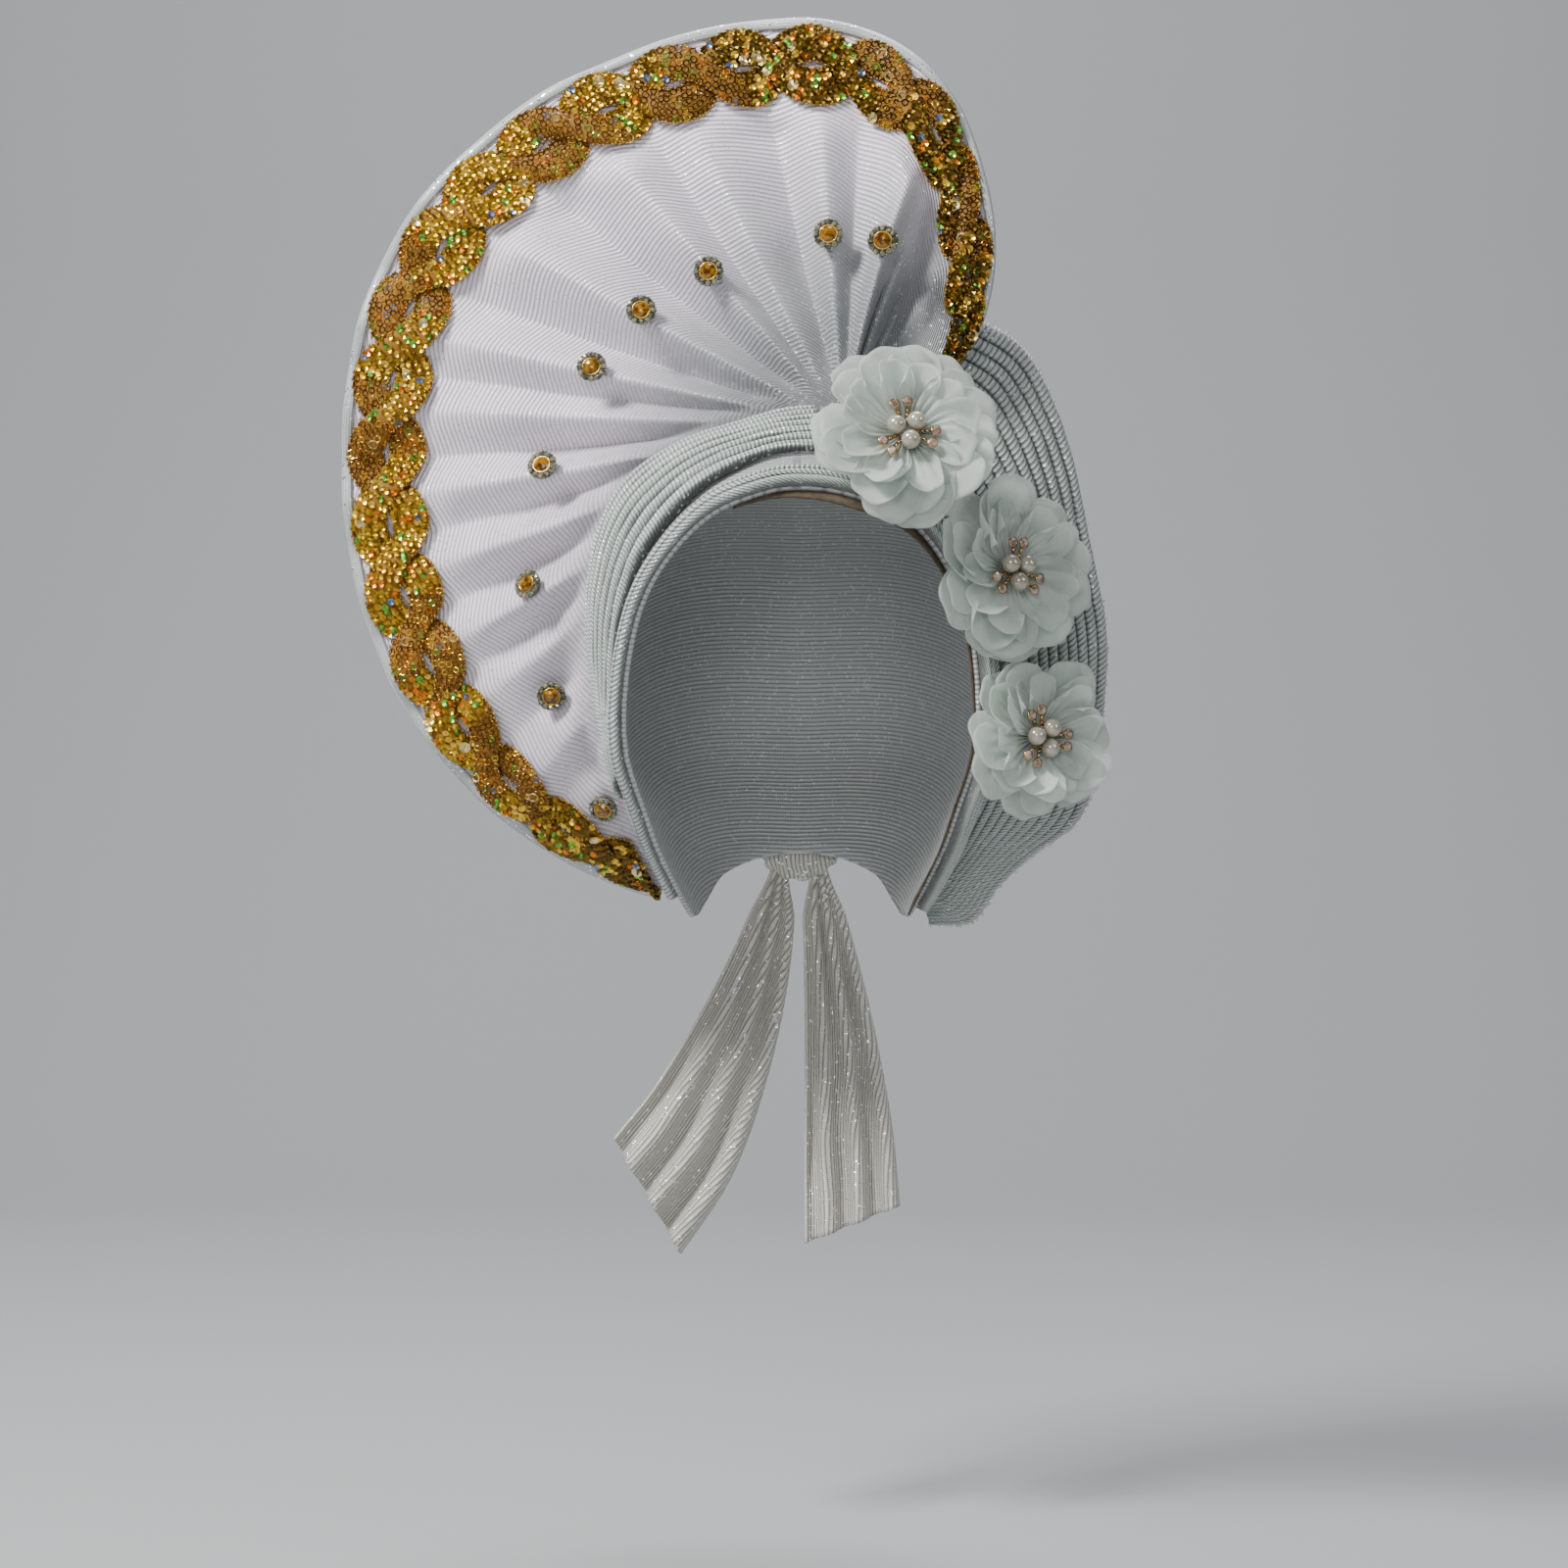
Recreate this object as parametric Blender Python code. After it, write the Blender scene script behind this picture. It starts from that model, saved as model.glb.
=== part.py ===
"""A tied gele head tie of ribbed cloth, in the form that it has when it is worn.

A hollow bonnet is open at the front, below and along the nape. A pleated fan stands up from a
gather above the opening and sweeps round its left side, with a sequin braid sewn along its rim.
A narrow-pleated wing stands at the right and carries two of the three cloth flowers.

Lengths are in metres. X runs to the viewer's right, Y runs to the back and Z runs up.
The origin is the innermost point of the bonnet's crown.
"""
import bisect
import math

import bmesh
import bpy
from mathutils import Matrix, Vector
from mathutils.bvhtree import BVHTree

# Bonnet: the room inside it, down to the level where it is widest and to its lowest edge
CAP_WIDTH = 0.144
CAP_DEPTH = 0.190
CROWN_HEIGHT = 0.112
CAP_DROP = 0.192
CAP_WALL = 0.002
CAP_ROWS = 6
CAP_ROW_CROWDING = 1.5
ROUNDNESS = 0.8

# Clearances, and the fineness of what is measured along a curve
SEAT_GAP = 0.0006
NARROW_GAP = 0.0004
MERGE = 0.000001
FINE_STEPS = 600

# Folded band round the front opening
BAND_WIDTH = 0.0085
BAND_HEIGHT = 0.0034
BAND_GROOVE_SHARE = 0.6
BAND_SIDE_SHARE = 0.4
BAND_ROLLS = 3
BAND_START_TURN = -100.0
BAND_END_TURN = 104.0
BAND_STATIONS = 42

# Fan
FAN_REACH = 0.205
FAN_SWEEP = 0.060
FAN_FALL = 0.9366
FAN_WALL = 0.0016
FAN_CUP = 0.006
FAN_CUP_SHARE = 0.12
FAN_ROWS = 4
HUB_X = 0.0165
HUB_Y = -0.052
HUB_Z = 0.001
FOLD_DEPTH = 0.0055
FOLD_SLOPE = 0.065
RIM_FOLD_SHARE = 0.45
RIM_ZONE = 0.041
ZONE_START_SHARE = 0.3
FOLD_FADE = 0.022

# Sequin braid on the rim of the fan
BRAID_WIDTH = 0.034
BRAID_THICKNESS = 0.0026
BRAID_EDGE_THICKNESS = 0.0009
BRAID_MARGIN = 0.004
BRAID_PITCH = 0.031
BRAID_SCALLOP = 0.16
BRAID_SWAY = 0.22
BRAID_START_SHARE = 0.45
BRAID_END_SHARE = 0.55
BRAID_NARROWS_AT = 0.74
STATIONS_PER_LOBE = 4

# Nested folds at the upper left of the opening
GATHER_WALL = 0.0014
GATHER_FOLDS = 7
GATHER_FOLD_DEPTH = 0.0024
GATHER_FOLD_LIMIT = 0.6
GATHER_BULGE = 0.12
GATHER_FAN_START = 150.0
GATHER_FAN_END = 239.0
GATHER_CAP_START = 6.0
GATHER_CAP_END = -75.0
GATHER_LIFT = 0.008
GATHER_LIFT_ENDS = 0.4
GATHER_GAP = 0.0024
GATHER_EDGE_GAP = 0.0019
GATHER_STATIONS = 14

# Wing at the right of the opening
WING_SPREAD = 0.121
WING_LENGTH = 0.243
WING_TOP = 0.048
WING_FRONT = -0.030
WING_SWEEP = 0.060
WING_WALL = 0.0014
WING_PLEATS = 12
WING_PLEAT_DEPTH = 0.0018
WING_PLEAT_LIMIT = 0.5
WING_ROOM_TURN = 80.0
WING_ROOM_SPAN = 25.0
WING_STATIONS = 11

# Knot of the gather
KNOT_RADIUS = 0.0095
KNOT_FLATNESS = 0.75
KNOT_SEGMENTS = 12
KNOT_RINGS = 6

# Flowers
FLOWER_RADIUS = 0.0345
PETALS = 8
PETAL_THICKNESS = 0.0012
INNER_LAYER_SHARE = 0.76
PETAL_NOTCH = 0.2
PETAL_FLAT_SHARE = 0.42
PETAL_WAVE = 0.0012
LAYER_GAP = 0.0009
OUTER_PETAL_RISE = 0.0045
INNER_PETAL_RISE = 0.009
HEEL_SHARE = 0.17
PEARLS = 3
PEARL_DIAMETER = 0.0073
PEARL_SPACING = 0.0078
PEARL_START = 30.0
PEARL_SEGMENTS = 10
PEARL_RINGS = 5
SPRAY_REACH = 0.0100
SPRAY_THICKNESS = 0.001
SPRAY_WAIST = 0.42
SPRAY_FORK = 0.5

# Studs on the fan
STUD_RADIUS = 0.00575
STUD_THICKNESS = 0.0012
STUD_FLOOR_SHARE = 0.5
STUD_CREST_SHARE = 0.78
STUD_NOTCH = 0.12
STUD_CRYSTALS = 12
STUD_CRYSTAL_HEIGHT = 0.0009
STONE_RADIUS = 0.0031
STONE_HEIGHT = 0.0019
STONE_SIDES = 8

# Knot and tails at the nape
NAPE_KNOT_WIDTH = 0.032
NAPE_KNOT_DEPTH = 0.018
NAPE_KNOT_HEIGHT = 0.022
NAPE_KNOT_FALL = 0.2
TAIL_WALL = 0.0017
TAIL_LENGTH = 0.150
TAIL_WIDTH = 0.056
TAIL_FOLD_DEPTH = 0.0045
TAIL_FOLDS = 3
TAIL_STATIONS = 5


def table(columns, *rows):
    """The rows as one list for each named column."""
    names = columns.split()
    return {name: [row[k] for row in rows] for k, name in enumerate(names)}


# Edge of the bonnet: turn from the front in degrees, drop as a share of CAP_DROP
EDGE = table(
    "turn drop",
    (0, 0.132),
    (21, 0.156),
    (41, 0.206),
    (55, 0.296),
    (64, 0.390),
    (68, 0.505),
    (72, 0.650),
    (79, 0.770),
    (88, 0.854),
    (98, 0.937),
    (110, 0.995),
    (128, 0.970),
    (150, 0.906),
    (180, 0.866),
    (210, 0.906),
    (232, 0.970),
    (250, 0.995),
    (262, 0.937),
    (272, 0.854),
    (281, 0.770),
    (288, 0.660),
    (294, 0.500),
    (302, 0.365),
    (313, 0.274),
    (329, 0.189),
    (345, 0.150),
)

# Bonnet below its widest level: fall as a share of what is left of CAP_DROP, ring as a share of
# the width and of the depth
NECK = table(
    "fall ring",
    (0.0, 1.0),
    (0.19, 0.97),
    (0.45, 0.86),
    (0.65, 0.78),
    (0.85, 0.69),
    (1.0, 0.63),
    (1.15, 0.60),
)

# Fan: turn about the hub in degrees, rim and base as shares of FAN_REACH, and how far the rim and
# the base lie behind the hub as shares of FAN_SWEEP. Below the hub the fan keeps to the bonnet's
# side, so there its heights go with CAP_DROP, which is FAN_FALL of FAN_REACH in this size.
FAN = table(
    "turn rim base rim_back base_back",
    (31, 0.274, 0.052, 0.12, 0.00),
    (45, 0.400, 0.052, 0.12, 0.00),
    (60, 0.540, 0.052, 0.13, 0.00),
    (72, 0.665, 0.052, 0.15, 0.00),
    (85, 0.755, 0.052, 0.20, 0.00),
    (100, 0.795, 0.052, 0.25, 0.00),
    (120, 0.831, 0.052, 0.32, 0.00),
    (140, 0.893, 0.058, 0.40, 0.00),
    (160, 0.948, 0.096, 0.50, 0.00),
    (178, 0.965, 0.195, 0.60, 0.03),
    (187, 0.975, 0.320, 0.68, 0.10),
    (195, 0.985, 0.425, 0.75, 0.16),
    (210, 1.000, 0.550, 0.90, 0.27),
    (225, 1.000, 0.675, 1.10, 0.42),
    (238, 0.988, 0.800, 1.30, 0.72),
    (243, 0.980, 0.860, 1.42, 0.98),
    (248, 0.972, 0.920, 1.55, 1.26),
)

# Folds of the fan: turn about the hub in degrees, height toward the front as a share of FOLD_DEPTH
FOLDS = table(
    "turn height",
    (31, 0.2),
    (46, -0.6),
    (57, 0.7),
    (66, -0.7),
    (77, 1.0),
    (87, -0.3),
    (94, 0.5),
    (103, -1.0),
    (116, 0.3),
    (123, -0.3),
    (130, 1.0),
    (141, -0.8),
    (151, 1.0),
    (160, -0.8),
    (167, 0.9),
    (172, -0.4),
    (177, 0.6),
    (183, -0.9),
    (188, 0.8),
    (193, -0.6),
    (198, 0.8),
    (203, -0.8),
    (208, 1.0),
    (212, -0.5),
    (216, 0.7),
    (222, -0.8),
    (228, 0.9),
    (232, -0.6),
    (236, 0.7),
    (242, -0.5),
    (248, 0.2),
)

# Wing: inner edge by turn in degrees and drop as a share of CAP_DROP on the bonnet, outer edge
# by reach as a share of WING_SPREAD, fall as a share of WING_LENGTH, back as a share of WING_SWEEP
WING = table(
    "turn drop reach fall back",
    (50, 0.040, 0.534, 0.006, 0.00),
    (56, 0.100, 0.709, 0.054, 0.07),
    (60, 0.170, 0.820, 0.146, 0.13),
    (65, 0.260, 0.884, 0.240, 0.20),
    (71, 0.370, 0.938, 0.359, 0.27),
    (77, 0.500, 0.998, 0.510, 0.33),
    (80, 0.600, 0.995, 0.620, 0.38),
    (84, 0.690, 0.969, 0.739, 0.42),
    (90, 0.770, 0.915, 0.823, 0.50),
    (98, 0.835, 0.779, 0.880, 0.85),
    (107, 0.890, 0.671, 0.934, 1.02),
    (114, 0.920, 0.588, 0.992, 1.14),
    (119, 0.930, 0.445, 1.000, 1.22),
)

# Flowers: centre as shares of CAP_WIDTH, CAP_DEPTH and CAP_DROP, then swing to the side, lift and
# roll in degrees, and the radius as a share of FLOWER_RADIUS
FLOWERS = table(
    "across behind above swing lift roll radius",
    (0.272, -0.403, -0.028, 6, 14, 12, 0.985),
    (0.547, -0.258, -0.284, 34, 0, 0, 1.000),
    (0.631, -0.189, -0.619, 30, 0, 24, 0.899),
)

# Studs: turn about the hub in degrees, reach from the hub as a share of FAN_REACH
STUDS = table(
    "turn reach",
    (94.0, 0.367),
    (76.5, 0.360),
    (130.3, 0.386),
    (150.3, 0.439),
    (166.5, 0.487),
    (187.3, 0.572),
    (207.0, 0.656),
    (221.5, 0.751),
    (237.0, 0.850),
)

# Cut stone, from its bottom to its table: reach as a share of its radius, and height
STONE = table(
    "reach height",
    (0.7, 0.0),
    (1.0, 0.5),
    (0.6, 1.0),
)

# Tails at the nape: centre line as shares of TAIL_LENGTH from the knot, width as a share of
# TAIL_WIDTH, slant of the cross line in degrees from level
LEFT_TAIL = table(
    "across back down width slant",
    (-0.055, -0.01, 0.008, 0.24, 0),
    (-0.11, 0.02, 0.24, 0.45, 16),
    (-0.19, 0.02, 0.48, 0.66, 32),
    (-0.30, -0.02, 0.72, 0.88, 48),
    (-0.43, -0.08, 0.90, 1.00, 60),
)
RIGHT_TAIL = table(
    "across back down width slant",
    (0.055, -0.01, 0.008, 0.24, 0),
    (0.09, 0.02, 0.24, 0.40, -10),
    (0.12, 0.01, 0.50, 0.56, -16),
    (0.14, -0.03, 0.76, 0.70, -20),
    (0.15, -0.08, 0.98, 0.76, -22),
)

# Colour, roughness and metallic value of each material
CLOTH = ((0.80, 0.82, 0.83), 0.62, 0.0)
PETAL_CLOTH = ((0.86, 0.88, 0.87), 0.55, 0.0)
SEQUINS = ((0.83, 0.56, 0.10), 0.30, 0.8)
GOLD = ((0.86, 0.62, 0.34), 0.25, 1.0)
PEARL = ((0.93, 0.89, 0.80), 0.22, 0.0)
CRYSTAL = ((0.55, 0.56, 0.52), 0.12, 0.3)
AMBER = ((0.75, 0.42, 0.04), 0.08, 0.0)


def smooth(xs, ys, x):
    """The value at x of a smooth curve through the points (xs, ys)."""
    last = len(xs) - 1
    k = min(max(bisect.bisect_right(xs, x) - 1, 0), last - 1)

    def slope(i):
        low = max(i - 1, 0)
        high = min(i + 1, last)
        return (ys[high] - ys[low]) / (xs[high] - xs[low])

    span = xs[k + 1] - xs[k]
    t = (x - xs[k]) / span
    rise = ys[k + 1] - ys[k]
    a = slope(k) * span
    b = slope(k + 1) * span
    return ys[k] + t * (a + t * (3 * rise - 2 * a - b + t * (a + b - 2 * rise)))


def lookup(rows, column, key, x):
    """The smooth value of one column of a table at x of its key column."""
    return smooth(rows[key], rows[column], x)


def ease(t):
    """A soft step from 0 to 1."""
    t = min(max(t, 0.0), 1.0)
    return t * t * (3 - 2 * t)


def bent(value):
    """A sine or cosine bent toward a section squarer than a circle."""
    return math.copysign(abs(value) ** ROUNDNESS, value)


def ring(level):
    """The bonnet's section at a level below the crown, as a share of its width and depth."""
    above = (level + CROWN_HEIGHT) / CROWN_HEIGHT
    if above > 0:
        cosine = min(above, 1.0) ** (1 / ROUNDNESS)
        return math.sqrt(1 - cosine ** 2) ** ROUNDNESS
    fall = (-level - CROWN_HEIGHT) / (CAP_DROP - CROWN_HEIGHT)
    return lookup(NECK, "ring", "fall", fall)


def cap_point(turn, level, out):
    """A point inside the bonnet, or outside that by out, at a turn in degrees from the front."""
    share = ring(level)
    angle = math.radians(turn)
    lift = out * max(level + CROWN_HEIGHT, 0.0) / CROWN_HEIGHT
    x = (CAP_WIDTH / 2 + out) * share * bent(math.sin(angle))
    y = -(CAP_DEPTH / 2 + out) * share * bent(math.cos(angle))
    return Vector((x, y, level + lift))


def edge_level(turn):
    """The level of the bonnet's edge at a turn in degrees."""
    turns = [t - 360 for t in EDGE["turn"]] + EDGE["turn"] + [t + 360 for t in EDGE["turn"]]
    return -CAP_DROP * smooth(turns, EDGE["drop"] * 3, turn)


def edge_frame(turn, inset):
    """A point on the outside of the bonnet by inset from its edge, with the outward direction."""
    outside = CAP_WALL
    step = 0.5
    here = cap_point(turn, edge_level(turn), outside)
    before = cap_point(turn - step, edge_level(turn - step), outside)
    after = cap_point(turn + step, edge_level(turn + step), outside)
    higher = cap_point(turn, edge_level(turn) + CROWN_HEIGHT / 100, outside)
    along = (after - before).normalized()
    outward = along.cross(higher - here).normalized()
    up = outward.cross(along).normalized()
    if up.dot(higher - here) < 0:
        up = -up
    spot = onto_cap(here + up * inset, outside)
    normal = cap_normal(spot, outside)
    return spot, normal


def onto_cap(point, out):
    """The point of the bonnet's outside at the height and in the direction of a point near it."""
    level = point.z
    if level > -CROWN_HEIGHT:
        level = min((level - out) / (1 + out / CROWN_HEIGHT), -MERGE)
    share = ring(level)
    across = (abs(point.x) / ((CAP_WIDTH / 2 + out) * share)) ** (1 / ROUNDNESS)
    along = (abs(point.y) / ((CAP_DEPTH / 2 + out) * share)) ** (1 / ROUNDNESS)
    turn = math.degrees(math.atan2(math.copysign(across, point.x), math.copysign(along, -point.y)))
    return cap_point(turn, level, out)


def cap_normal(point, out):
    """The outward direction of the bonnet's outside at a point of it."""
    step = 0.001
    sideways = Vector((0, 0, 1)).cross(point).normalized() * step
    across = onto_cap(point + sideways, out) - onto_cap(point - sideways, out)
    down = onto_cap(point - Vector((0, 0, step)), out) - onto_cap(point + Vector((0, 0, step)), out)
    normal = across.cross(down).normalized()
    return normal if normal.dot(Vector((point.x, point.y, point.z + CROWN_HEIGHT))) > 0 else -normal


def fold_height(turn):
    """The height of the fan's folds at a turn, from -1 to 1, eased from row to row."""
    turns = FOLDS["turn"]
    heights = FOLDS["height"]
    k = min(max(bisect.bisect_right(turns, turn) - 1, 0), len(turns) - 2)
    t = ease((turn - turns[k]) / (turns[k + 1] - turns[k]))
    return heights[k] + (heights[k + 1] - heights[k]) * t


def fan_radii(turn):
    """The fan's base, the inner limit of its rim zone and its rim, from the hub."""
    base = FAN_REACH * lookup(FAN, "base", "turn", turn)
    rim = FAN_REACH * lookup(FAN, "rim", "turn", turn)
    return base, max(rim - RIM_ZONE, base + (rim - base) * ZONE_START_SHARE), rim


def fan_point(turn, radius):
    """A point on the middle surface of the fan."""
    base, zone, rim = fan_radii(turn)
    base_back = lookup(FAN, "base_back", "turn", turn)
    rim_back = lookup(FAN, "rim_back", "turn", turn)
    share = (radius - base) / (rim - base)
    back = FAN_SWEEP * (base_back + (rim_back - base_back) * share)
    inner = min(radius, zone)
    toward_rim = ease((inner - base) / (zone - base))
    cup = min(FAN_CUP, FAN_CUP_SHARE * (zone - base)) * math.sin(math.pi * toward_rim)
    hub_radius = FAN_REACH * min(FAN["base"])
    depth = min(FOLD_DEPTH, FOLD_SLOPE * (inner - hub_radius)) * ease((inner - base) / FOLD_FADE)
    depth *= 1 + (RIM_FOLD_SHARE - 1) * toward_rim
    angle = math.radians(turn)
    x = HUB_X + radius * math.cos(angle)
    rise = radius * math.sin(angle)
    if rise < 0:
        rise *= CAP_DROP / (FAN_REACH * FAN_FALL)
    return Vector((x, HUB_Y + back + cup - depth * fold_height(turn), HUB_Z + rise))


def fan_normal(turn, radius):
    """The direction that the front of the fan faces at a point."""
    step_turn = 1.0
    step_radius = 0.001
    across = fan_point(turn + step_turn, radius) - fan_point(turn - step_turn, radius)
    along = fan_point(turn, radius + step_radius) - fan_point(turn, radius - step_radius)
    normal = across.cross(along).normalized()
    return normal if normal.y < 0 else -normal


def measure(curve, start, end):
    """Fine steps of a curve's parameter from start to end, with the length up to each."""
    fine = [start + (end - start) * k / FINE_STEPS for k in range(FINE_STEPS + 1)]
    points = [curve(t) for t in fine]
    lengths = [0.0]
    for a, b in zip(points, points[1:]):
        lengths.append(lengths[-1] + (b - a).length)
    return fine, lengths


def even_steps(curve, start, end, count):
    """Parameters of a curve that part it into count stretches of equal length."""
    fine, lengths = measure(curve, start, end)
    steps = []
    for k in range(count + 1):
        target = lengths[-1] * k / count
        i = min(max(bisect.bisect_right(lengths, target) - 1, 0), len(fine) - 2)
        t = (target - lengths[i]) / (lengths[i + 1] - lengths[i])
        steps.append(fine[i] + (fine[i + 1] - fine[i]) * t)
    return steps


def rim_point(turn):
    """A point on the rim of the fan, seen flat from the front."""
    rim = fan_radii(turn)[2]
    return Vector((rim * math.cos(math.radians(turn)), rim * math.sin(math.radians(turn))))


def base_point(turn):
    """A point on the base of the fan."""
    return fan_point(turn, fan_radii(turn)[0])


def edge_point(turn):
    """A point on the edge of the bonnet."""
    return cap_point(turn, edge_level(turn), CAP_WALL)


def rim_turns():
    """Turns of the fan's columns, spaced evenly along the rim, a set number to each braid lobe."""
    start = FAN["turn"][0]
    end = FAN["turn"][-1]
    lobes = round(measure(rim_point, start, end)[1][-1] / BRAID_PITCH)
    return even_steps(rim_point, start, end, lobes * STATIONS_PER_LOBE)


def make_material(name, look):
    colour, roughness, metallic = look
    material = bpy.data.materials.new(name)
    material.use_nodes = True
    shader = material.node_tree.nodes["Principled BSDF"]
    shader.inputs["Base Color"].default_value = (*colour, 1.0)
    shader.inputs["Roughness"].default_value = roughness
    shader.inputs["Metallic"].default_value = metallic
    material.diffuse_color = (*colour, 1.0)
    return material


def add_object(name, bm, look, sharp=50):
    """Store a closed mesh as one named object with its own material."""
    bmesh.ops.remove_doubles(bm, verts=bm.verts, dist=MERGE)
    bmesh.ops.recalc_face_normals(bm, faces=bm.faces)
    mesh = bpy.data.meshes.new(name)
    bm.to_mesh(mesh)
    bm.free()
    mesh.shade_smooth()
    mesh.set_sharp_from_angle(angle=math.radians(sharp))
    mesh.materials.append(make_material(name, look))
    item = bpy.data.objects.new(name, mesh)
    bpy.context.scene.collection.objects.link(item)
    return item


def sheet_mesh(front, back, looped=False, poled=False):
    """A closed wall between two grids of points; poled means that the first row is one point."""
    bm = bmesh.new()
    near = [[bm.verts.new(p) for p in row] for row in front]
    far = [[bm.verts.new(p) for p in row] for row in back]
    rows = len(near)
    columns = len(near[0])
    steps = columns if looped else columns - 1
    for i in range(rows - 1):
        for j in range(steps):
            k = (j + 1) % columns
            bm.faces.new((near[i][j], near[i][k], near[i + 1][k], near[i + 1][j]))
            bm.faces.new((far[i][j], far[i + 1][j], far[i + 1][k], far[i][k]))
    for i in (rows - 1,) if poled else (0, rows - 1):
        for j in range(steps):
            k = (j + 1) % columns
            bm.faces.new((near[i][j], far[i][j], far[i][k], near[i][k]))
    if not looped:
        for j in (0, columns - 1):
            for i in range(rows - 1):
                bm.faces.new((near[i][j], near[i + 1][j], far[i + 1][j], far[i][j]))
    return bm


def ring_mesh(sections):
    """A closed bar through a list of cross-sections with the same number of points."""
    bm = bmesh.new()
    loops = [[bm.verts.new(p) for p in section] for section in sections]
    count = len(loops[0])
    for a, b in zip(loops, loops[1:]):
        for j in range(count):
            k = (j + 1) % count
            bm.faces.new((a[j], a[k], b[k], b[j]))
    bm.faces.new(loops[0])
    bm.faces.new(loops[-1])
    return bm


def grid_normals(grid, toward):
    """Unit normals of a grid of points, all on the side that mostly faces the direction toward."""
    rows = len(grid)
    columns = len(grid[0])
    normals = []
    for i in range(rows):
        line = []
        for j in range(columns):
            along = grid[min(i + 1, rows - 1)][j] - grid[max(i - 1, 0)][j]
            across = grid[i][min(j + 1, columns - 1)] - grid[i][max(j - 1, 0)]
            line.append(along.cross(across).normalized())
        normals.append(line)
    facing = sum(normal.dot(toward) for line in normals for normal in line)
    return normals if facing > 0 else [[-normal for normal in line] for line in normals]


def lay_slab(base, fronts, toward, wall):
    """Front and back grids of a slab: the back lies on base, the front stands off by fronts."""
    normals = grid_normals(base, toward)
    front = []
    for row, lifts, directions in zip(base, fronts, normals):
        front.append([p + n * (wall + lift) for p, lift, n in zip(row, lifts, directions)])
    return front, base


def make_cap():
    """The hollow bonnet, open at the face, at the neck and along the nape."""
    turns = []
    closed = EDGE["turn"] + [EDGE["turn"][0] + 360]
    for a, b in zip(closed, closed[1:]):
        turns += [a, (a + b) / 2]
    outer = []
    inner = []
    for i in range(CAP_ROWS + 1):
        share = (i / CAP_ROWS) ** CAP_ROW_CROWDING
        outer.append([cap_point(t, edge_level(t) * share, CAP_WALL) for t in turns])
        inner.append([cap_point(t, edge_level(t) * share, 0.0) for t in turns])
    return add_object("cap", sheet_mesh(outer, inner, looped=True, poled=True), CLOTH)


def make_face_band():
    """The folded rim that frames the opening, rolled lengthwise."""
    sections = []
    for turn in even_steps(edge_point, BAND_START_TURN, BAND_END_TURN, BAND_STATIONS):
        section = []
        for inset in (BAND_WIDTH, 0.0):
            foot, outward = edge_frame(turn, inset)
            section.append(foot + outward * SEAT_GAP)
        steps = BAND_ROLLS * 2
        for k in range(steps + 1):
            spot, outward = edge_frame(turn, BAND_WIDTH * k / steps)
            height = BAND_HEIGHT * (1.0 if k % 2 else BAND_GROOVE_SHARE)
            if k in (0, steps):
                height = BAND_HEIGHT * BAND_SIDE_SHARE
            section.append(spot + outward * (SEAT_GAP + height))
        sections.append(section)
    add_object("face_band", ring_mesh(sections), CLOTH)


def make_fan(turns):
    """The pleated fan, one wall of cloth."""
    grid = []
    for i in range(FAN_ROWS + 2):
        row = []
        for t in turns:
            base, zone, rim = fan_radii(t)
            radius = base + (zone - base) * i / FAN_ROWS if i <= FAN_ROWS else rim
            row.append(fan_point(t, radius))
        grid.append(row)
    normals = grid_normals(grid, Vector((0, -1, 0)))
    half = FAN_WALL / 2
    front = [[p + n * half for p, n in zip(*pair)] for pair in zip(grid, normals)]
    back = [[p - n * half for p, n in zip(*pair)] for pair in zip(grid, normals)]
    return add_object("fan", sheet_mesh(front, back), CLOTH)


def make_braid(turns):
    """The sequin braid along the rim, scalloped on both sides and crowned where a strand rises."""
    sections = []
    for k, turn in enumerate(turns):
        phase = math.pi * k / STATIONS_PER_LOBE
        base, zone, rim = fan_radii(turn)
        narrowing = BRAID_START_SHARE + (1 - BRAID_START_SHARE) * ease(k / (2 * STATIONS_PER_LOBE))
        ending = ease((k / (len(turns) - 1) - BRAID_NARROWS_AT) / (1 - BRAID_NARROWS_AT))
        narrowing *= 1 + (BRAID_END_SHARE - 1) * ending
        full = min(BRAID_WIDTH * narrowing, rim - base - 2 * BRAID_MARGIN)
        width = full * (1 - BRAID_SCALLOP * (1 - abs(math.sin(phase))))
        outer = rim - BRAID_MARGIN - full / 2 + width / 2
        inner = outer - width
        sway = 0.5 + BRAID_SWAY * math.sin(phase)
        normal = fan_normal(turn, (zone + rim) / 2)
        lift = FAN_WALL / 2 + SEAT_GAP
        profile = (
            (0.0, 0.0),
            (1.0, 0.0),
            (1.0, BRAID_EDGE_THICKNESS),
            (sway, BRAID_THICKNESS),
            (0.0, BRAID_EDGE_THICKNESS),
        )
        section = []
        for share, height in profile:
            point = fan_point(turn, inner + (outer - inner) * share)
            section.append(point + normal * (lift + height))
        sections.append(section)
    add_object("sequin_braid", ring_mesh(sections), SEQUINS)


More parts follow.
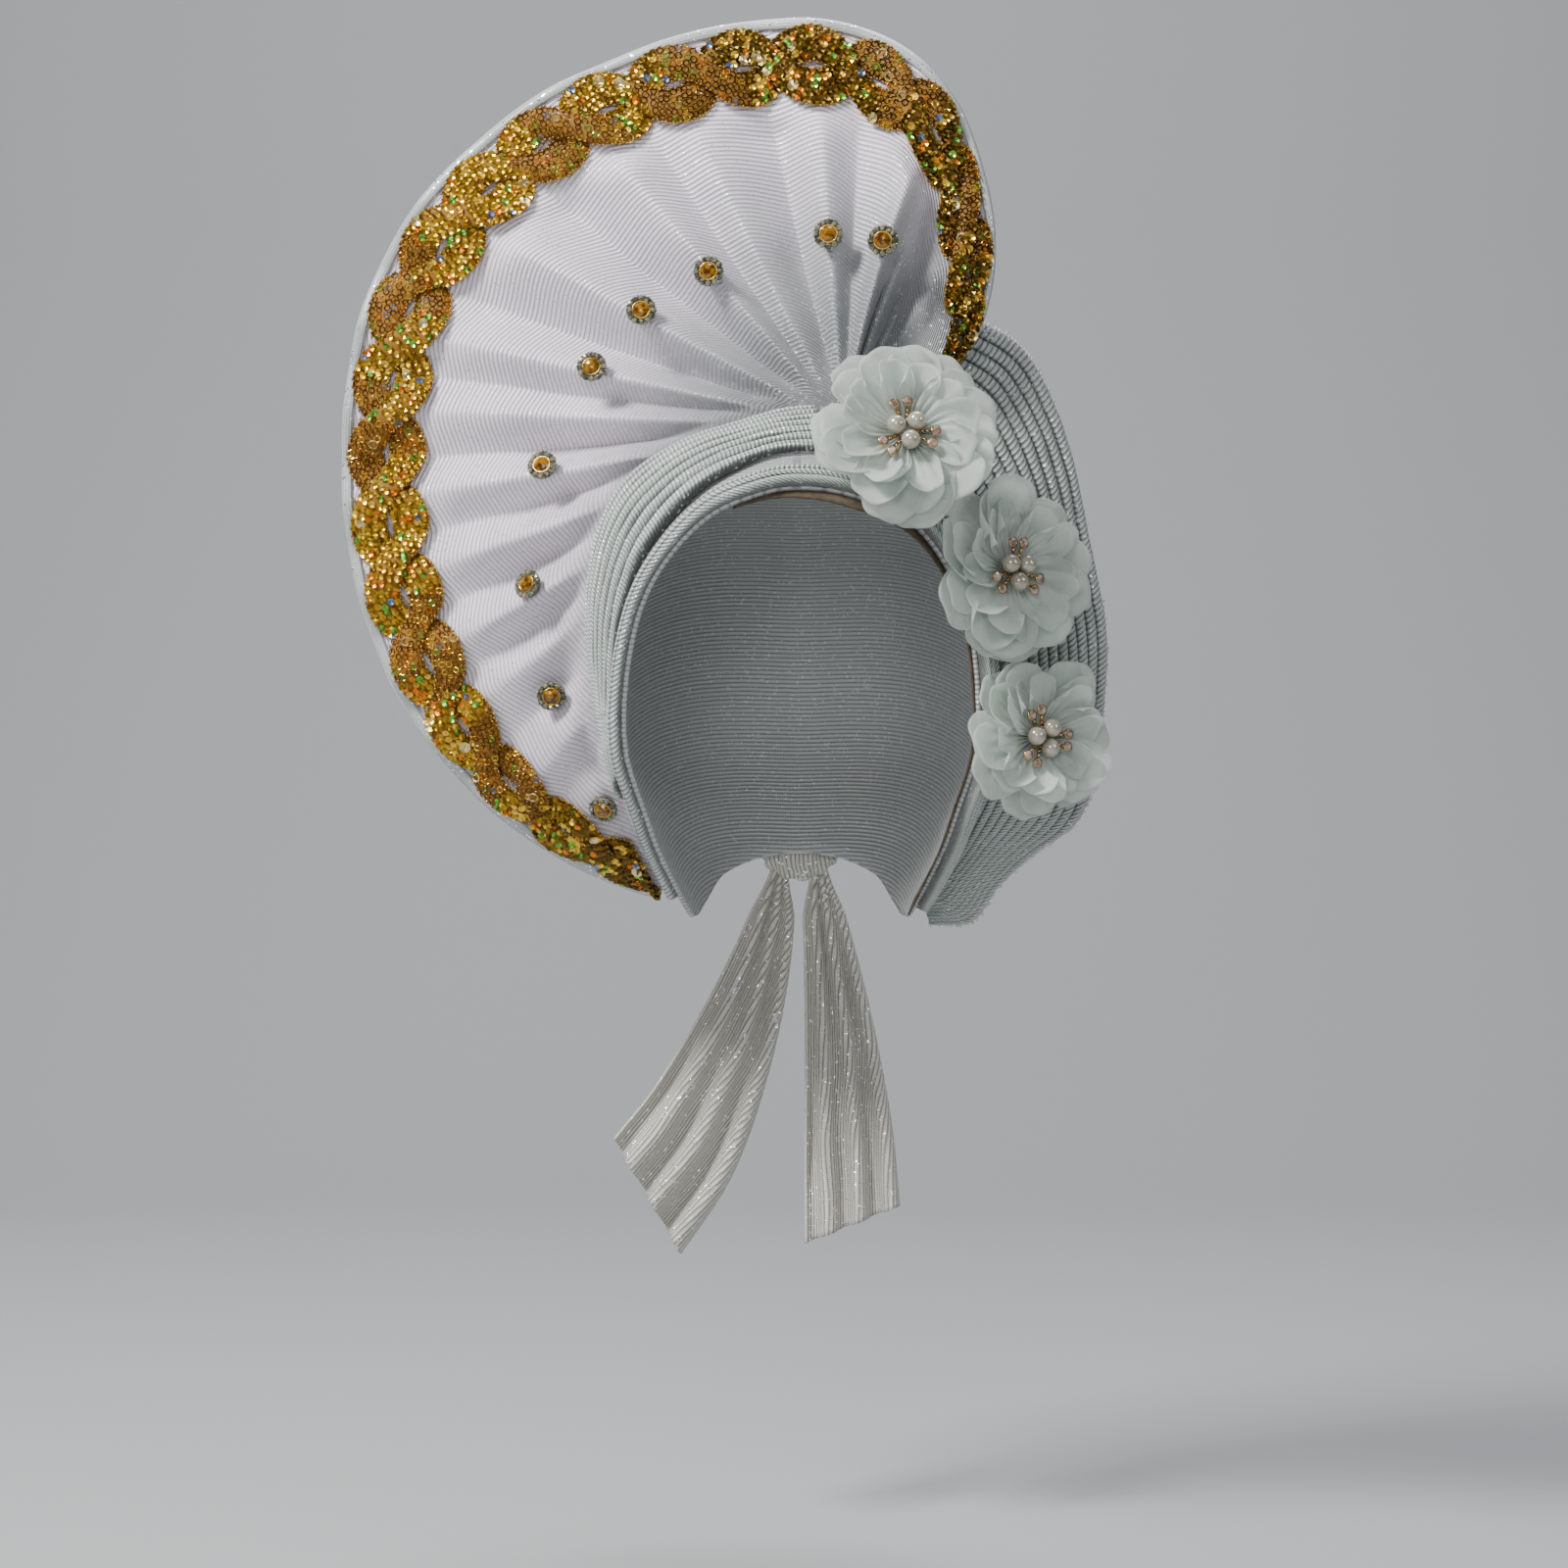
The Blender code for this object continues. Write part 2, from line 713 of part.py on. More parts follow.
def make_gathers():
    """The nested folds that sweep from the gather round the upper left of the opening."""
    base = []
    lifts = []
    steps = GATHER_FOLDS * 2
    fan_turns = even_steps(base_point, GATHER_FAN_START, GATHER_FAN_END, GATHER_STATIONS)
    cap_turns = even_steps(edge_point, GATHER_CAP_START, GATHER_CAP_END, GATHER_STATIONS)
    for s, (fan_turn, cap_turn) in enumerate(zip(fan_turns, cap_turns)):
        share = s / GATHER_STATIONS
        lift_off = GATHER_LIFT * (1 - ease(share / GATHER_LIFT_ENDS))
        foot, outward = edge_frame(cap_turn, BAND_WIDTH + GATHER_GAP + lift_off)
        start = foot + outward * SEAT_GAP
        tangent = (base_point(fan_turn + 1) - base_point(fan_turn - 1)).normalized()
        end = base_point(fan_turn)
        aside = start - end
        aside -= tangent * aside.dot(tangent)
        end += aside.normalized() * GATHER_EDGE_GAP
        width = (end - start).length
        depth = min(GATHER_FOLD_DEPTH, GATHER_FOLD_LIMIT * width / GATHER_FOLDS)
        row = []
        heights = []
        for k in range(steps + 1):
            t = k / steps
            bulge = math.sin(math.pi * t) * width * GATHER_BULGE
            row.append(start.lerp(end, t) + outward * bulge)
            heights.append(depth if k % 2 else 0.0)
        base.append(row)
        lifts.append(heights)
    front, back = lay_slab(base, lifts, Vector((-1, -0.6, 0.1)), GATHER_WALL)
    add_object("side_gathers", sheet_mesh(front, back), CLOTH)


def make_wing():
    """The pleated wing at the right, its pleats running from top to bottom side by side."""
    last = len(WING["turn"]) - 1
    rows = list(range(last + 1))
    steps = WING_PLEATS * 2
    base = []
    lifts = []
    for s in range(WING_STATIONS + 1):
        v = last * s / WING_STATIONS
        turn, drop, reach, fall, back = (smooth(rows, WING[name], v) for name in WING)
        spare = 2 * WING_WALL * ease((turn - WING_ROOM_TURN) / WING_ROOM_SPAN)
        start = cap_point(turn, -CAP_DROP * drop, CAP_WALL + SEAT_GAP + spare)
        behind = WING_FRONT + WING_SWEEP * back
        end = Vector((WING_SPREAD * reach, behind, WING_TOP - WING_LENGTH * fall))
        pitch = (end - start).length / WING_PLEATS
        depth = min(WING_PLEAT_DEPTH, WING_PLEAT_LIMIT * pitch)
        base.append([start.lerp(end, k / steps) for k in range(steps + 1)])
        lifts.append([depth if k % 2 else 0.0 for k in range(steps + 1)])
    front, back = lay_slab(base, lifts, Vector((0.3, -1, 0)), WING_WALL)
    return add_object("pleated_wing", sheet_mesh(front, back), CLOTH)


def surface(item):
    """The surface of a finished piece, for finding where another piece rests on it."""
    points = [corner.co for corner in item.data.vertices]
    faces = [tuple(face.vertices) for face in item.data.polygons]
    return BVHTree.FromPolygons(points, faces)


def way_to(item, points, direction):
    """The shortest way along a direction from any of the points to a finished piece."""
    tree = surface(item)
    ways = [tree.ray_cast(point, direction)[3] for point in points]
    return min(way for way in ways if way is not None)


def make_lump(name, centre, radii, look):
    """A rounded closed lump with its own three radii."""
    bm = bmesh.new()
    bmesh.ops.create_uvsphere(bm, u_segments=KNOT_SEGMENTS, v_segments=KNOT_RINGS, radius=1.0)
    bmesh.ops.scale(bm, vec=radii, verts=bm.verts)
    bmesh.ops.translate(bm, vec=centre, verts=bm.verts)
    return add_object(name, bm, look)


def flower_frame(k):
    """The place of a flower, its local Z pointing away from the cloth."""
    across = CAP_WIDTH * FLOWERS["across"][k]
    behind = CAP_DEPTH * FLOWERS["behind"][k]
    place = Vector((across, behind, CAP_DROP * FLOWERS["above"][k]))
    swing = Matrix.Rotation(math.radians(FLOWERS["swing"][k]), 4, "Z")
    lift = Matrix.Rotation(math.radians(90 - FLOWERS["lift"][k]), 4, "X")
    roll = Matrix.Rotation(math.radians(FLOWERS["roll"][k]), 4, "Z")
    return Matrix.Translation(place) @ swing @ lift @ roll


def heel_tip(frame, carrier):
    """Where a flower's heel is sewn to the cloth that carries it, in the flower's own frame."""
    spot, outward, _, _ = surface(carrier).find_nearest(frame.translation)
    return frame.inverted() @ (spot + outward * NARROW_GAP)


def make_rosette(name, frame, radius, rise, floor, phase, tip, shares):
    """One layer of petals: a scalloped, cupped wall, drawn back at its middle to a point."""
    columns = PETALS * 3
    flat = radius * PETAL_FLAT_SHARE
    front = []
    back = []
    for share in shares:
        near = []
        far = []
        for j in range(columns):
            angle = 2 * math.pi * j / columns
            wave = math.cos(PETALS * (angle + phase) + math.pi / 3)
            reach = radius * share
            height = 0.0
            if share == 1.0:
                reach *= 1 - PETAL_NOTCH * (1 - wave) / 2
                height = rise * (reach - flat) / (radius - flat) + PETAL_WAVE * wave
            spot = (reach * math.cos(angle), reach * math.sin(angle))
            near.append(frame @ Vector((*spot, floor + height + PETAL_THICKNESS)))
            far.append(frame @ (Vector((*spot, floor + height)) if share > 0 else tip))
        front.append(near)
        back.append(far)
    add_object(name, sheet_mesh(front, back, looped=True, poled=True), PETAL_CLOTH)


def make_spray(name, frame, floor):
    """The gilt setting under the pearls, with three pairs of short arms."""
    waist = [SPRAY_WAIST] * 3
    outline = [SPRAY_FORK, 1.0, SPRAY_FORK, *waist, SPRAY_FORK, 1.0] * PEARLS
    columns = len(outline)
    front = []
    back = []
    for share in (0.0, 1.0):
        near = []
        far = []
        for j, arm in enumerate(outline):
            angle = 2 * math.pi * j / columns + math.pi / 2
            reach = SPRAY_REACH * arm * share
            spot = (reach * math.cos(angle), reach * math.sin(angle))
            near.append(frame @ Vector((*spot, floor + SPRAY_THICKNESS)))
            far.append(frame @ Vector((*spot, floor)))
        front.append(near)
        back.append(far)
    add_object(name, sheet_mesh(front, back, looped=True, poled=True), GOLD, sharp=30)


def make_pearl(name, place, frame):
    bm = bmesh.new()
    radius = PEARL_DIAMETER / 2
    bmesh.ops.create_uvsphere(bm, u_segments=PEARL_SEGMENTS, v_segments=PEARL_RINGS, radius=radius)
    bmesh.ops.transform(bm, matrix=frame @ Matrix.Translation(place), verts=bm.verts)
    add_object(name, bm, PEARL, sharp=80)


def make_flower(k, carrier):
    """A cloth flower: two layers of petals, a gilt spray and three pearls."""
    name = f"flower_{k + 1}"
    frame = flower_frame(k)
    radius = FLOWER_RADIUS * FLOWERS["radius"][k]
    step = PETAL_THICKNESS + LAYER_GAP
    outer = (radius, OUTER_PETAL_RISE, 0.0, 0.0, heel_tip(frame, carrier))
    inner = (radius * INNER_LAYER_SHARE, INNER_PETAL_RISE, step, math.pi / PETALS, Vector((0, 0, step)))
    make_rosette(f"{name}_outer_petals", frame, *outer, (0.0, HEEL_SHARE, PETAL_FLAT_SHARE, 1.0))
    make_rosette(f"{name}_inner_petals", frame, *inner, (0.0, PETAL_FLAT_SHARE, 1.0))
    make_spray(f"{name}_spray", frame, 2 * step)
    height = 2 * step + SPRAY_THICKNESS + NARROW_GAP + PEARL_DIAMETER / 2
    for n in range(PEARLS):
        angle = math.radians(PEARL_START + 360 * n / PEARLS)
        around = PEARL_SPACING / (2 * math.sin(math.pi / PEARLS))
        place = Vector((around * math.cos(angle), around * math.sin(angle), height))
        make_pearl(f"{name}_pearl_{n + 1}", place, frame)


def disc(frame, count, reach, height=0.0):
    """A circle of points round the local Z of a frame."""
    points = []
    for j in range(count):
        angle = 2 * math.pi * j / count
        points.append(frame @ Vector((reach * math.cos(angle), reach * math.sin(angle), height)))
    return points


def stud_frame(turn, reach, fan):
    """The seat of a stud on the folds under it, its local Z pointing away from the fan."""
    radius = FAN_REACH * reach
    normal = fan_normal(turn, radius)
    turned = normal.to_track_quat("Z", "Y").to_matrix().to_4x4()
    clear = Matrix.Translation(fan_point(turn, radius) + normal * 2 * FOLD_DEPTH) @ turned
    points = []
    for share in (0.0, 0.5, 1.0):
        points += disc(clear, STUD_CRYSTALS * 2, STUD_RADIUS * share)
    way = way_to(fan, points, -normal)
    return Matrix.Translation(normal * (NARROW_GAP - way)) @ clear


def make_stud(k, fan):
    """A stud: a ring of small crystals in claws, with a cut amber stone in its middle."""
    frame = stud_frame(STUDS["turn"][k], STUDS["reach"][k], fan)
    columns = STUD_CRYSTALS * 2
    floor = STUD_THICKNESS * STUD_FLOOR_SHARE
    crest = STUD_THICKNESS + STUD_CRYSTAL_HEIGHT
    claws = disc(frame, columns, STUD_RADIUS)
    notches = disc(frame, columns, STUD_RADIUS * (1 - STUD_NOTCH))
    claws[1::2] = notches[1::2]
    loops = [
        disc(frame, columns, STONE_RADIUS + NARROW_GAP, floor),
        disc(frame, columns, STUD_RADIUS * STUD_CREST_SHARE, crest),
        claws,
    ]
    name = f"stud_{k + 1}"
    add_object(f"{name}_setting", ring_mesh(loops), CRYSTAL, sharp=30)
    make_stone(f"{name}_stone", frame, floor + NARROW_GAP)


def make_stone(name, frame, floor):
    """A round cut stone: a flat table, a ring of eight facets, a girdle and a flat bottom."""
    loops = []
    for share, height in zip(STONE["reach"], STONE["height"]):
        loops.append(disc(frame, STONE_SIDES, STONE_RADIUS * share, floor + STONE_HEIGHT * height))
    add_object(name, ring_mesh(loops), AMBER, sharp=10)


def make_nape_knot(cap):
    """The knot at the nape, drawn against the bonnet's edge, and its middle."""
    radii = Vector((NAPE_KNOT_WIDTH, NAPE_KNOT_DEPTH, NAPE_KNOT_HEIGHT)) / 2
    edge = cap_point(180, edge_level(180), CAP_WALL)
    away = edge + Vector((0, NAPE_KNOT_DEPTH, -NAPE_KNOT_HEIGHT * NAPE_KNOT_FALL))
    spot, _, _, reach = surface(cap).find_nearest(away)
    toward = (spot - away).normalized()
    support = Vector([radius * part for radius, part in zip(radii, toward)]).length
    centre = away + toward * (reach - support - NARROW_GAP)
    return make_lump("nape_knot", centre, radii, CLOTH), centre


def make_tail(name, rows, knot, middle):
    """A loose end of the tie, gathered at the knot and folded lengthwise."""
    below = middle - Vector((0, 0, NAPE_KNOT_HEIGHT / 2 + SEAT_GAP))
    last = len(rows["down"]) - 1
    keys = list(range(last + 1))
    steps = TAIL_FOLDS * 4
    front = []
    back = []
    for s in range(TAIL_STATIONS + 1):
        v = last * s / TAIL_STATIONS
        across, depth, down, width, slant = (smooth(keys, rows[column], v) for column in rows)
        centre = below + Vector((across, depth, -down)) * TAIL_LENGTH
        line = Vector((math.cos(math.radians(slant)), 0, -math.sin(math.radians(slant))))
        near = []
        far = []
        for k in range(steps + 1):
            t = k / steps
            wave = math.sin(2 * math.pi * TAIL_FOLDS * t)
            fold = TAIL_FOLD_DEPTH * width * wave
            spot = centre + line * (TAIL_WIDTH * width * (t - 0.5)) + Vector((0, fold, 0))
            near.append(spot)
            far.append(spot + Vector((0, TAIL_WALL, 0)))
        front.append(near)
        back.append(far)
    raised = Vector((0, 0, way_to(knot, front[0] + back[0], Vector((0, 0, 1))) - NARROW_GAP))
    front = [[spot + raised for spot in row] for row in front]
    back = [[spot + raised for spot in row] for row in back]
    add_object(name, sheet_mesh(front, back), CLOTH)


def build():
    for item in list(bpy.data.objects):
        bpy.data.objects.remove(item, do_unlink=True)
    turns = rim_turns()
    cap = make_cap()
    make_face_band()
    fan = make_fan(turns)
    make_braid(turns)
    make_gathers()
    wing = make_wing()
    knot_radii = (KNOT_RADIUS, KNOT_RADIUS * KNOT_FLATNESS, KNOT_RADIUS)
    make_lump("gather_knot", (HUB_X, HUB_Y, HUB_Z), knot_radii, CLOTH)
    for k, carrier in enumerate((cap, wing, wing)):
        make_flower(k, carrier)
    for k in range(len(STUDS["turn"])):
        make_stud(k, fan)
    knot, middle = make_nape_knot(cap)
    make_tail("tie_tail_left", LEFT_TAIL, knot, middle)
    make_tail("tie_tail_right", RIGHT_TAIL, knot, middle)


build()
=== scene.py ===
"""Looks of the tied gele head tie: its ribbed cloth, sequin braid, flowers, studs and pearls.

Lengths are in metres. X runs to the viewer's right, Y to the back and Z up.
"""
import bisect
import math

import bpy
import numpy as np
from mathutils import Matrix, Vector, noise


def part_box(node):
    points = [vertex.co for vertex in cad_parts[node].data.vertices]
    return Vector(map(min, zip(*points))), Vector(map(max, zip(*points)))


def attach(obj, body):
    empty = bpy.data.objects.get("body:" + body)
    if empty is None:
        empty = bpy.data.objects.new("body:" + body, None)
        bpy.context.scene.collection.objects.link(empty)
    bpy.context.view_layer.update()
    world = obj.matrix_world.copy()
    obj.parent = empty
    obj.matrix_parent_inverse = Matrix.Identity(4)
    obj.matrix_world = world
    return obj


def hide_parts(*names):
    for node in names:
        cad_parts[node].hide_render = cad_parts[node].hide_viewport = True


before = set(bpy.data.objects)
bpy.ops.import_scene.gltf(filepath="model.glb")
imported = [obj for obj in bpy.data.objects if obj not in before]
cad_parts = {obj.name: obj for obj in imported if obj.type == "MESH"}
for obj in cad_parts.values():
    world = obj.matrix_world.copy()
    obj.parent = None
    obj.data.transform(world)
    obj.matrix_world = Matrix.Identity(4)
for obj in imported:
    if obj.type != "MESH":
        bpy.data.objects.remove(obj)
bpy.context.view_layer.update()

# Bonnet: the room inside it, down to the level where it is widest and to its lowest edge
CAP_WIDTH = 0.144
CAP_DEPTH = 0.190
CROWN_HEIGHT = 0.112
CAP_DROP = 0.192
CAP_WALL = 0.002
ROUNDNESS = 0.8

# Clearances, and the fineness of what is measured along a curve
SEAT_GAP = 0.0006
NARROW_GAP = 0.0004
MERGE = 0.000001
FINE_STEPS = 600

# Folded band round the front opening
BAND_WIDTH = 0.0085
BAND_HEIGHT = 0.0034
BAND_ROLLS = 3
BAND_START_TURN = -100.0
BAND_END_TURN = 104.0

# Fan
FAN_REACH = 0.205
FAN_SWEEP = 0.060
FAN_FALL = 0.9366
FAN_WALL = 0.0016
FAN_CUP = 0.006
FAN_CUP_SHARE = 0.12
HUB_X = 0.0165
HUB_Y = -0.052
HUB_Z = 0.001
FOLD_DEPTH = 0.0055
FOLD_SLOPE = 0.065
RIM_FOLD_SHARE = 0.45
RIM_ZONE = 0.041
ZONE_START_SHARE = 0.3
FOLD_FADE = 0.022

# Sequin braid on the rim of the fan
BRAID_WIDTH = 0.034
BRAID_MARGIN = 0.004
BRAID_PITCH = 0.031
BRAID_START_SHARE = 0.45
BRAID_END_SHARE = 0.55
BRAID_NARROWS_AT = 0.74

# Nested folds at the upper left of the opening
GATHER_WALL = 0.0014
GATHER_FOLDS = 7
GATHER_FOLD_DEPTH = 0.0024
GATHER_BULGE = 0.12
GATHER_FAN_START = 150.0
GATHER_FAN_END = 239.0
GATHER_CAP_START = 6.0
GATHER_CAP_END = -75.0
GATHER_LIFT = 0.008
GATHER_LIFT_ENDS = 0.4
GATHER_GAP = 0.0024
GATHER_EDGE_GAP = 0.0019

# Wing at the right of the opening
WING_SPREAD = 0.121
WING_LENGTH = 0.243
WING_TOP = 0.048
WING_FRONT = -0.030
WING_SWEEP = 0.060
WING_WALL = 0.0014
WING_PLEATS = 12
WING_PLEAT_DEPTH = 0.0018
WING_ROOM_TURN = 80.0
WING_ROOM_SPAN = 25.0

# Flowers
FLOWER_RADIUS = 0.0345
PETAL_THICKNESS = 0.0012
INNER_LAYER_SHARE = 0.76
LAYER_GAP = 0.0009
OUTER_PETAL_RISE = 0.0045
INNER_PETAL_RISE = 0.009
HEEL_SHARE = 0.17
PEARLS = 3
PEARL_DIAMETER = 0.0073
PEARL_SPACING = 0.0078
PEARL_START = 30.0
SPRAY_REACH = 0.0100
SPRAY_THICKNESS = 0.001

# Studs on the fan
STUD_RADIUS = 0.00575
STUD_CRYSTALS = 12
STONE_RADIUS = 0.0031

# Knot and tails at the nape
TAIL_WALL = 0.0017
TAIL_LENGTH = 0.150
TAIL_WIDTH = 0.056
TAIL_FOLD_DEPTH = 0.0045
TAIL_FOLDS = 3


def table(columns, *rows):
    """The rows as one list for each named column."""
    names = columns.split()
    return {name: [row[k] for row in rows] for k, name in enumerate(names)}


# Edge of the bonnet: turn from the front in degrees, drop as a share of CAP_DROP
EDGE = table(
    "turn drop",
    (0, 0.132),
    (21, 0.156),
    (41, 0.206),
    (55, 0.296),
    (64, 0.390),
    (68, 0.505),
    (72, 0.650),
    (79, 0.770),
    (88, 0.854),
    (98, 0.937),
    (110, 0.995),
    (128, 0.970),
    (150, 0.906),
    (180, 0.866),
    (210, 0.906),
    (232, 0.970),
    (250, 0.995),
    (262, 0.937),
    (272, 0.854),
    (281, 0.770),
    (288, 0.660),
    (294, 0.500),
    (302, 0.365),
    (313, 0.274),
    (329, 0.189),
    (345, 0.150),
)

# Bonnet below its widest level: fall as a share of what is left of CAP_DROP, ring as a share of
# the width and of the depth
NECK = table(
    "fall ring",
    (0.0, 1.0),
    (0.19, 0.97),
    (0.45, 0.86),
    (0.65, 0.78),
    (0.85, 0.69),
    (1.0, 0.63),
    (1.15, 0.60),
)

# Fan: turn about the hub in degrees, rim and base as shares of FAN_REACH, and how far the rim and
# the base lie behind the hub as shares of FAN_SWEEP. Below the hub the fan keeps to the bonnet's
# side, so there its heights go with CAP_DROP, which is FAN_FALL of FAN_REACH in this size.
FAN = table(
    "turn rim base rim_back base_back",
    (31, 0.274, 0.052, 0.12, 0.00),
    (45, 0.400, 0.052, 0.12, 0.00),
    (60, 0.540, 0.052, 0.13, 0.00),
    (72, 0.665, 0.052, 0.15, 0.00),
    (85, 0.755, 0.052, 0.20, 0.00),
    (100, 0.795, 0.052, 0.25, 0.00),
    (120, 0.831, 0.052, 0.32, 0.00),
    (140, 0.893, 0.058, 0.40, 0.00),
    (160, 0.948, 0.096, 0.50, 0.00),
    (178, 0.965, 0.195, 0.60, 0.03),
    (187, 0.975, 0.320, 0.68, 0.10),
    (195, 0.985, 0.425, 0.75, 0.16),
    (210, 1.000, 0.550, 0.90, 0.27),
    (225, 1.000, 0.675, 1.10, 0.42),
    (238, 0.988, 0.800, 1.30, 0.72),
    (243, 0.980, 0.860, 1.42, 0.98),
    (248, 0.972, 0.920, 1.55, 1.26),
)
FAN_START = FAN["turn"][0]
FAN_END = FAN["turn"][-1]

# Folds of the fan: turn about the hub in degrees, height toward the front as a share of FOLD_DEPTH
FOLDS = table(
    "turn height",
    (31, 0.2),
    (46, -0.6),
    (57, 0.7),
    (66, -0.7),
    (77, 1.0),
    (87, -0.3),
    (94, 0.5),
    (103, -1.0),
    (116, 0.3),
    (123, -0.3),
    (130, 1.0),
    (141, -0.8),
    (151, 1.0),
    (160, -0.8),
    (167, 0.9),
    (172, -0.4),
    (177, 0.6),
    (183, -0.9),
    (188, 0.8),
    (193, -0.6),
    (198, 0.8),
    (203, -0.8),
    (208, 1.0),
    (212, -0.5),
    (216, 0.7),
    (222, -0.8),
    (228, 0.9),
    (232, -0.6),
    (236, 0.7),
    (242, -0.5),
    (248, 0.2),
)

# Wing: inner edge by turn in degrees and drop as a share of CAP_DROP on the bonnet, outer edge
# by reach as a share of WING_SPREAD, fall as a share of WING_LENGTH, back as a share of WING_SWEEP
WING = table(
    "turn drop reach fall back",
    (50, 0.040, 0.534, 0.006, 0.00),
    (56, 0.100, 0.709, 0.054, 0.07),
    (60, 0.170, 0.820, 0.146, 0.13),
    (65, 0.260, 0.884, 0.240, 0.20),
    (71, 0.370, 0.938, 0.359, 0.27),
    (77, 0.500, 0.998, 0.510, 0.33),
    (80, 0.600, 0.995, 0.620, 0.38),
    (84, 0.690, 0.969, 0.739, 0.42),
    (90, 0.770, 0.915, 0.823, 0.50),
    (98, 0.835, 0.779, 0.880, 0.85),
    (107, 0.890, 0.671, 0.934, 1.02),
    (114, 0.920, 0.588, 0.992, 1.14),
    (119, 0.930, 0.445, 1.000, 1.22),
)

# Flowers: centre as shares of CAP_WIDTH, CAP_DEPTH and CAP_DROP, then swing to the side, lift and
# roll in degrees, and the radius as a share of FLOWER_RADIUS
FLOWERS = table(
    "across behind above swing lift roll radius",
    (0.272, -0.403, -0.028, 6, 14, 12, 0.985),
    (0.547, -0.258, -0.284, 34, 0, 0, 1.000),
    (0.631, -0.189, -0.619, 30, 0, 24, 0.899),
)

# Studs: turn about the hub in degrees, reach from the hub as a share of FAN_REACH
STUDS = table(
    "turn reach",
    (94.0, 0.367),
    (76.5, 0.360),
    (130.3, 0.386),
    (150.3, 0.439),
    (166.5, 0.487),
    (187.3, 0.572),
    (207.0, 0.656),
    (221.5, 0.751),
    (237.0, 0.850),
)

# Tails at the nape: centre line as shares of TAIL_LENGTH from the knot, width as a share of
# TAIL_WIDTH, slant of the cross line in degrees from level
LEFT_TAIL = table(
    "across back down width slant",
    (-0.055, -0.01, 0.008, 0.24, 0),
    (-0.11, 0.02, 0.24, 0.45, 16),
    (-0.19, 0.02, 0.48, 0.66, 32),
    (-0.30, -0.02, 0.72, 0.88, 48),
    (-0.43, -0.08, 0.90, 1.00, 60),
)
RIGHT_TAIL = table(
    "across back down width slant",
    (0.055, -0.01, 0.008, 0.24, 0),
    (0.09, 0.02, 0.24, 0.40, -10),
    (0.12, 0.01, 0.50, 0.56, -16),
    (0.14, -0.03, 0.76, 0.70, -20),
    (0.15, -0.08, 0.98, 0.76, -22),
)


def smooth(xs, ys, x):
    """The value at x of a smooth curve through the points (xs, ys)."""
    last = len(xs) - 1
    k = min(max(bisect.bisect_right(xs, x) - 1, 0), last - 1)

    def slope(i):
        low = max(i - 1, 0)
        high = min(i + 1, last)
        return (ys[high] - ys[low]) / (xs[high] - xs[low])

    span = xs[k + 1] - xs[k]
    t = (x - xs[k]) / span
    rise = ys[k + 1] - ys[k]
    a = slope(k) * span
    b = slope(k + 1) * span
    return ys[k] + t * (a + t * (3 * rise - 2 * a - b + t * (a + b - 2 * rise)))


def lookup(rows, column, key, x):
    """The smooth value of one column of a table at x of its key column."""
    return smooth(rows[key], rows[column], x)


def ease(t):
    """A soft step from 0 to 1."""
    t = min(max(t, 0.0), 1.0)
    return t * t * (3 - 2 * t)


def bent(value):
    """A sine or cosine bent toward a section squarer than a circle."""
    return math.copysign(abs(value) ** ROUNDNESS, value)


def ring(level):
    """The bonnet's section at a level below the crown, as a share of its width and depth."""
    above = (level + CROWN_HEIGHT) / CROWN_HEIGHT
    if above > 0:
        cosine = min(above, 1.0) ** (1 / ROUNDNESS)
        return math.sqrt(1 - cosine ** 2) ** ROUNDNESS
    fall = (-level - CROWN_HEIGHT) / (CAP_DROP - CROWN_HEIGHT)
    return lookup(NECK, "ring", "fall", fall)


def cap_point(turn, level, out):
    """A point inside the bonnet, or outside that by out, at a turn in degrees from the front."""
    share = ring(level)
    angle = math.radians(turn)
    lift = out * max(level + CROWN_HEIGHT, 0.0) / CROWN_HEIGHT
    x = (CAP_WIDTH / 2 + out) * share * bent(math.sin(angle))
    y = -(CAP_DEPTH / 2 + out) * share * bent(math.cos(angle))
    return Vector((x, y, level + lift))


def edge_level(turn):
    """The level of the bonnet's edge at a turn in degrees."""
    turns = [t - 360 for t in EDGE["turn"]] + EDGE["turn"] + [t + 360 for t in EDGE["turn"]]
    return -CAP_DROP * smooth(turns, EDGE["drop"] * 3, turn)


def edge_frame(turn, inset):
    """A point on the outside of the bonnet by inset from its edge, with the outward direction."""
    outside = CAP_WALL
    step = 0.5
    here = cap_point(turn, edge_level(turn), outside)
    before = cap_point(turn - step, edge_level(turn - step), outside)
    after = cap_point(turn + step, edge_level(turn + step), outside)
    higher = cap_point(turn, edge_level(turn) + CROWN_HEIGHT / 100, outside)
    along = (after - before).normalized()
    outward = along.cross(higher - here).normalized()
    up = outward.cross(along).normalized()
    if up.dot(higher - here) < 0:
        up = -up
    spot = onto_cap(here + up * inset, outside)
    normal = cap_normal(spot, outside)
    return spot, normal


def onto_cap(point, out):
    """The point of the bonnet's outside at the height and in the direction of a point near it."""
    level = point.z
    if level > -CROWN_HEIGHT:
        level = min((level - out) / (1 + out / CROWN_HEIGHT), -MERGE)
    share = ring(level)
    across = (abs(point.x) / ((CAP_WIDTH / 2 + out) * share)) ** (1 / ROUNDNESS)
    along = (abs(point.y) / ((CAP_DEPTH / 2 + out) * share)) ** (1 / ROUNDNESS)
    turn = math.degrees(math.atan2(math.copysign(across, point.x), math.copysign(along, -point.y)))
    return cap_point(turn, level, out)


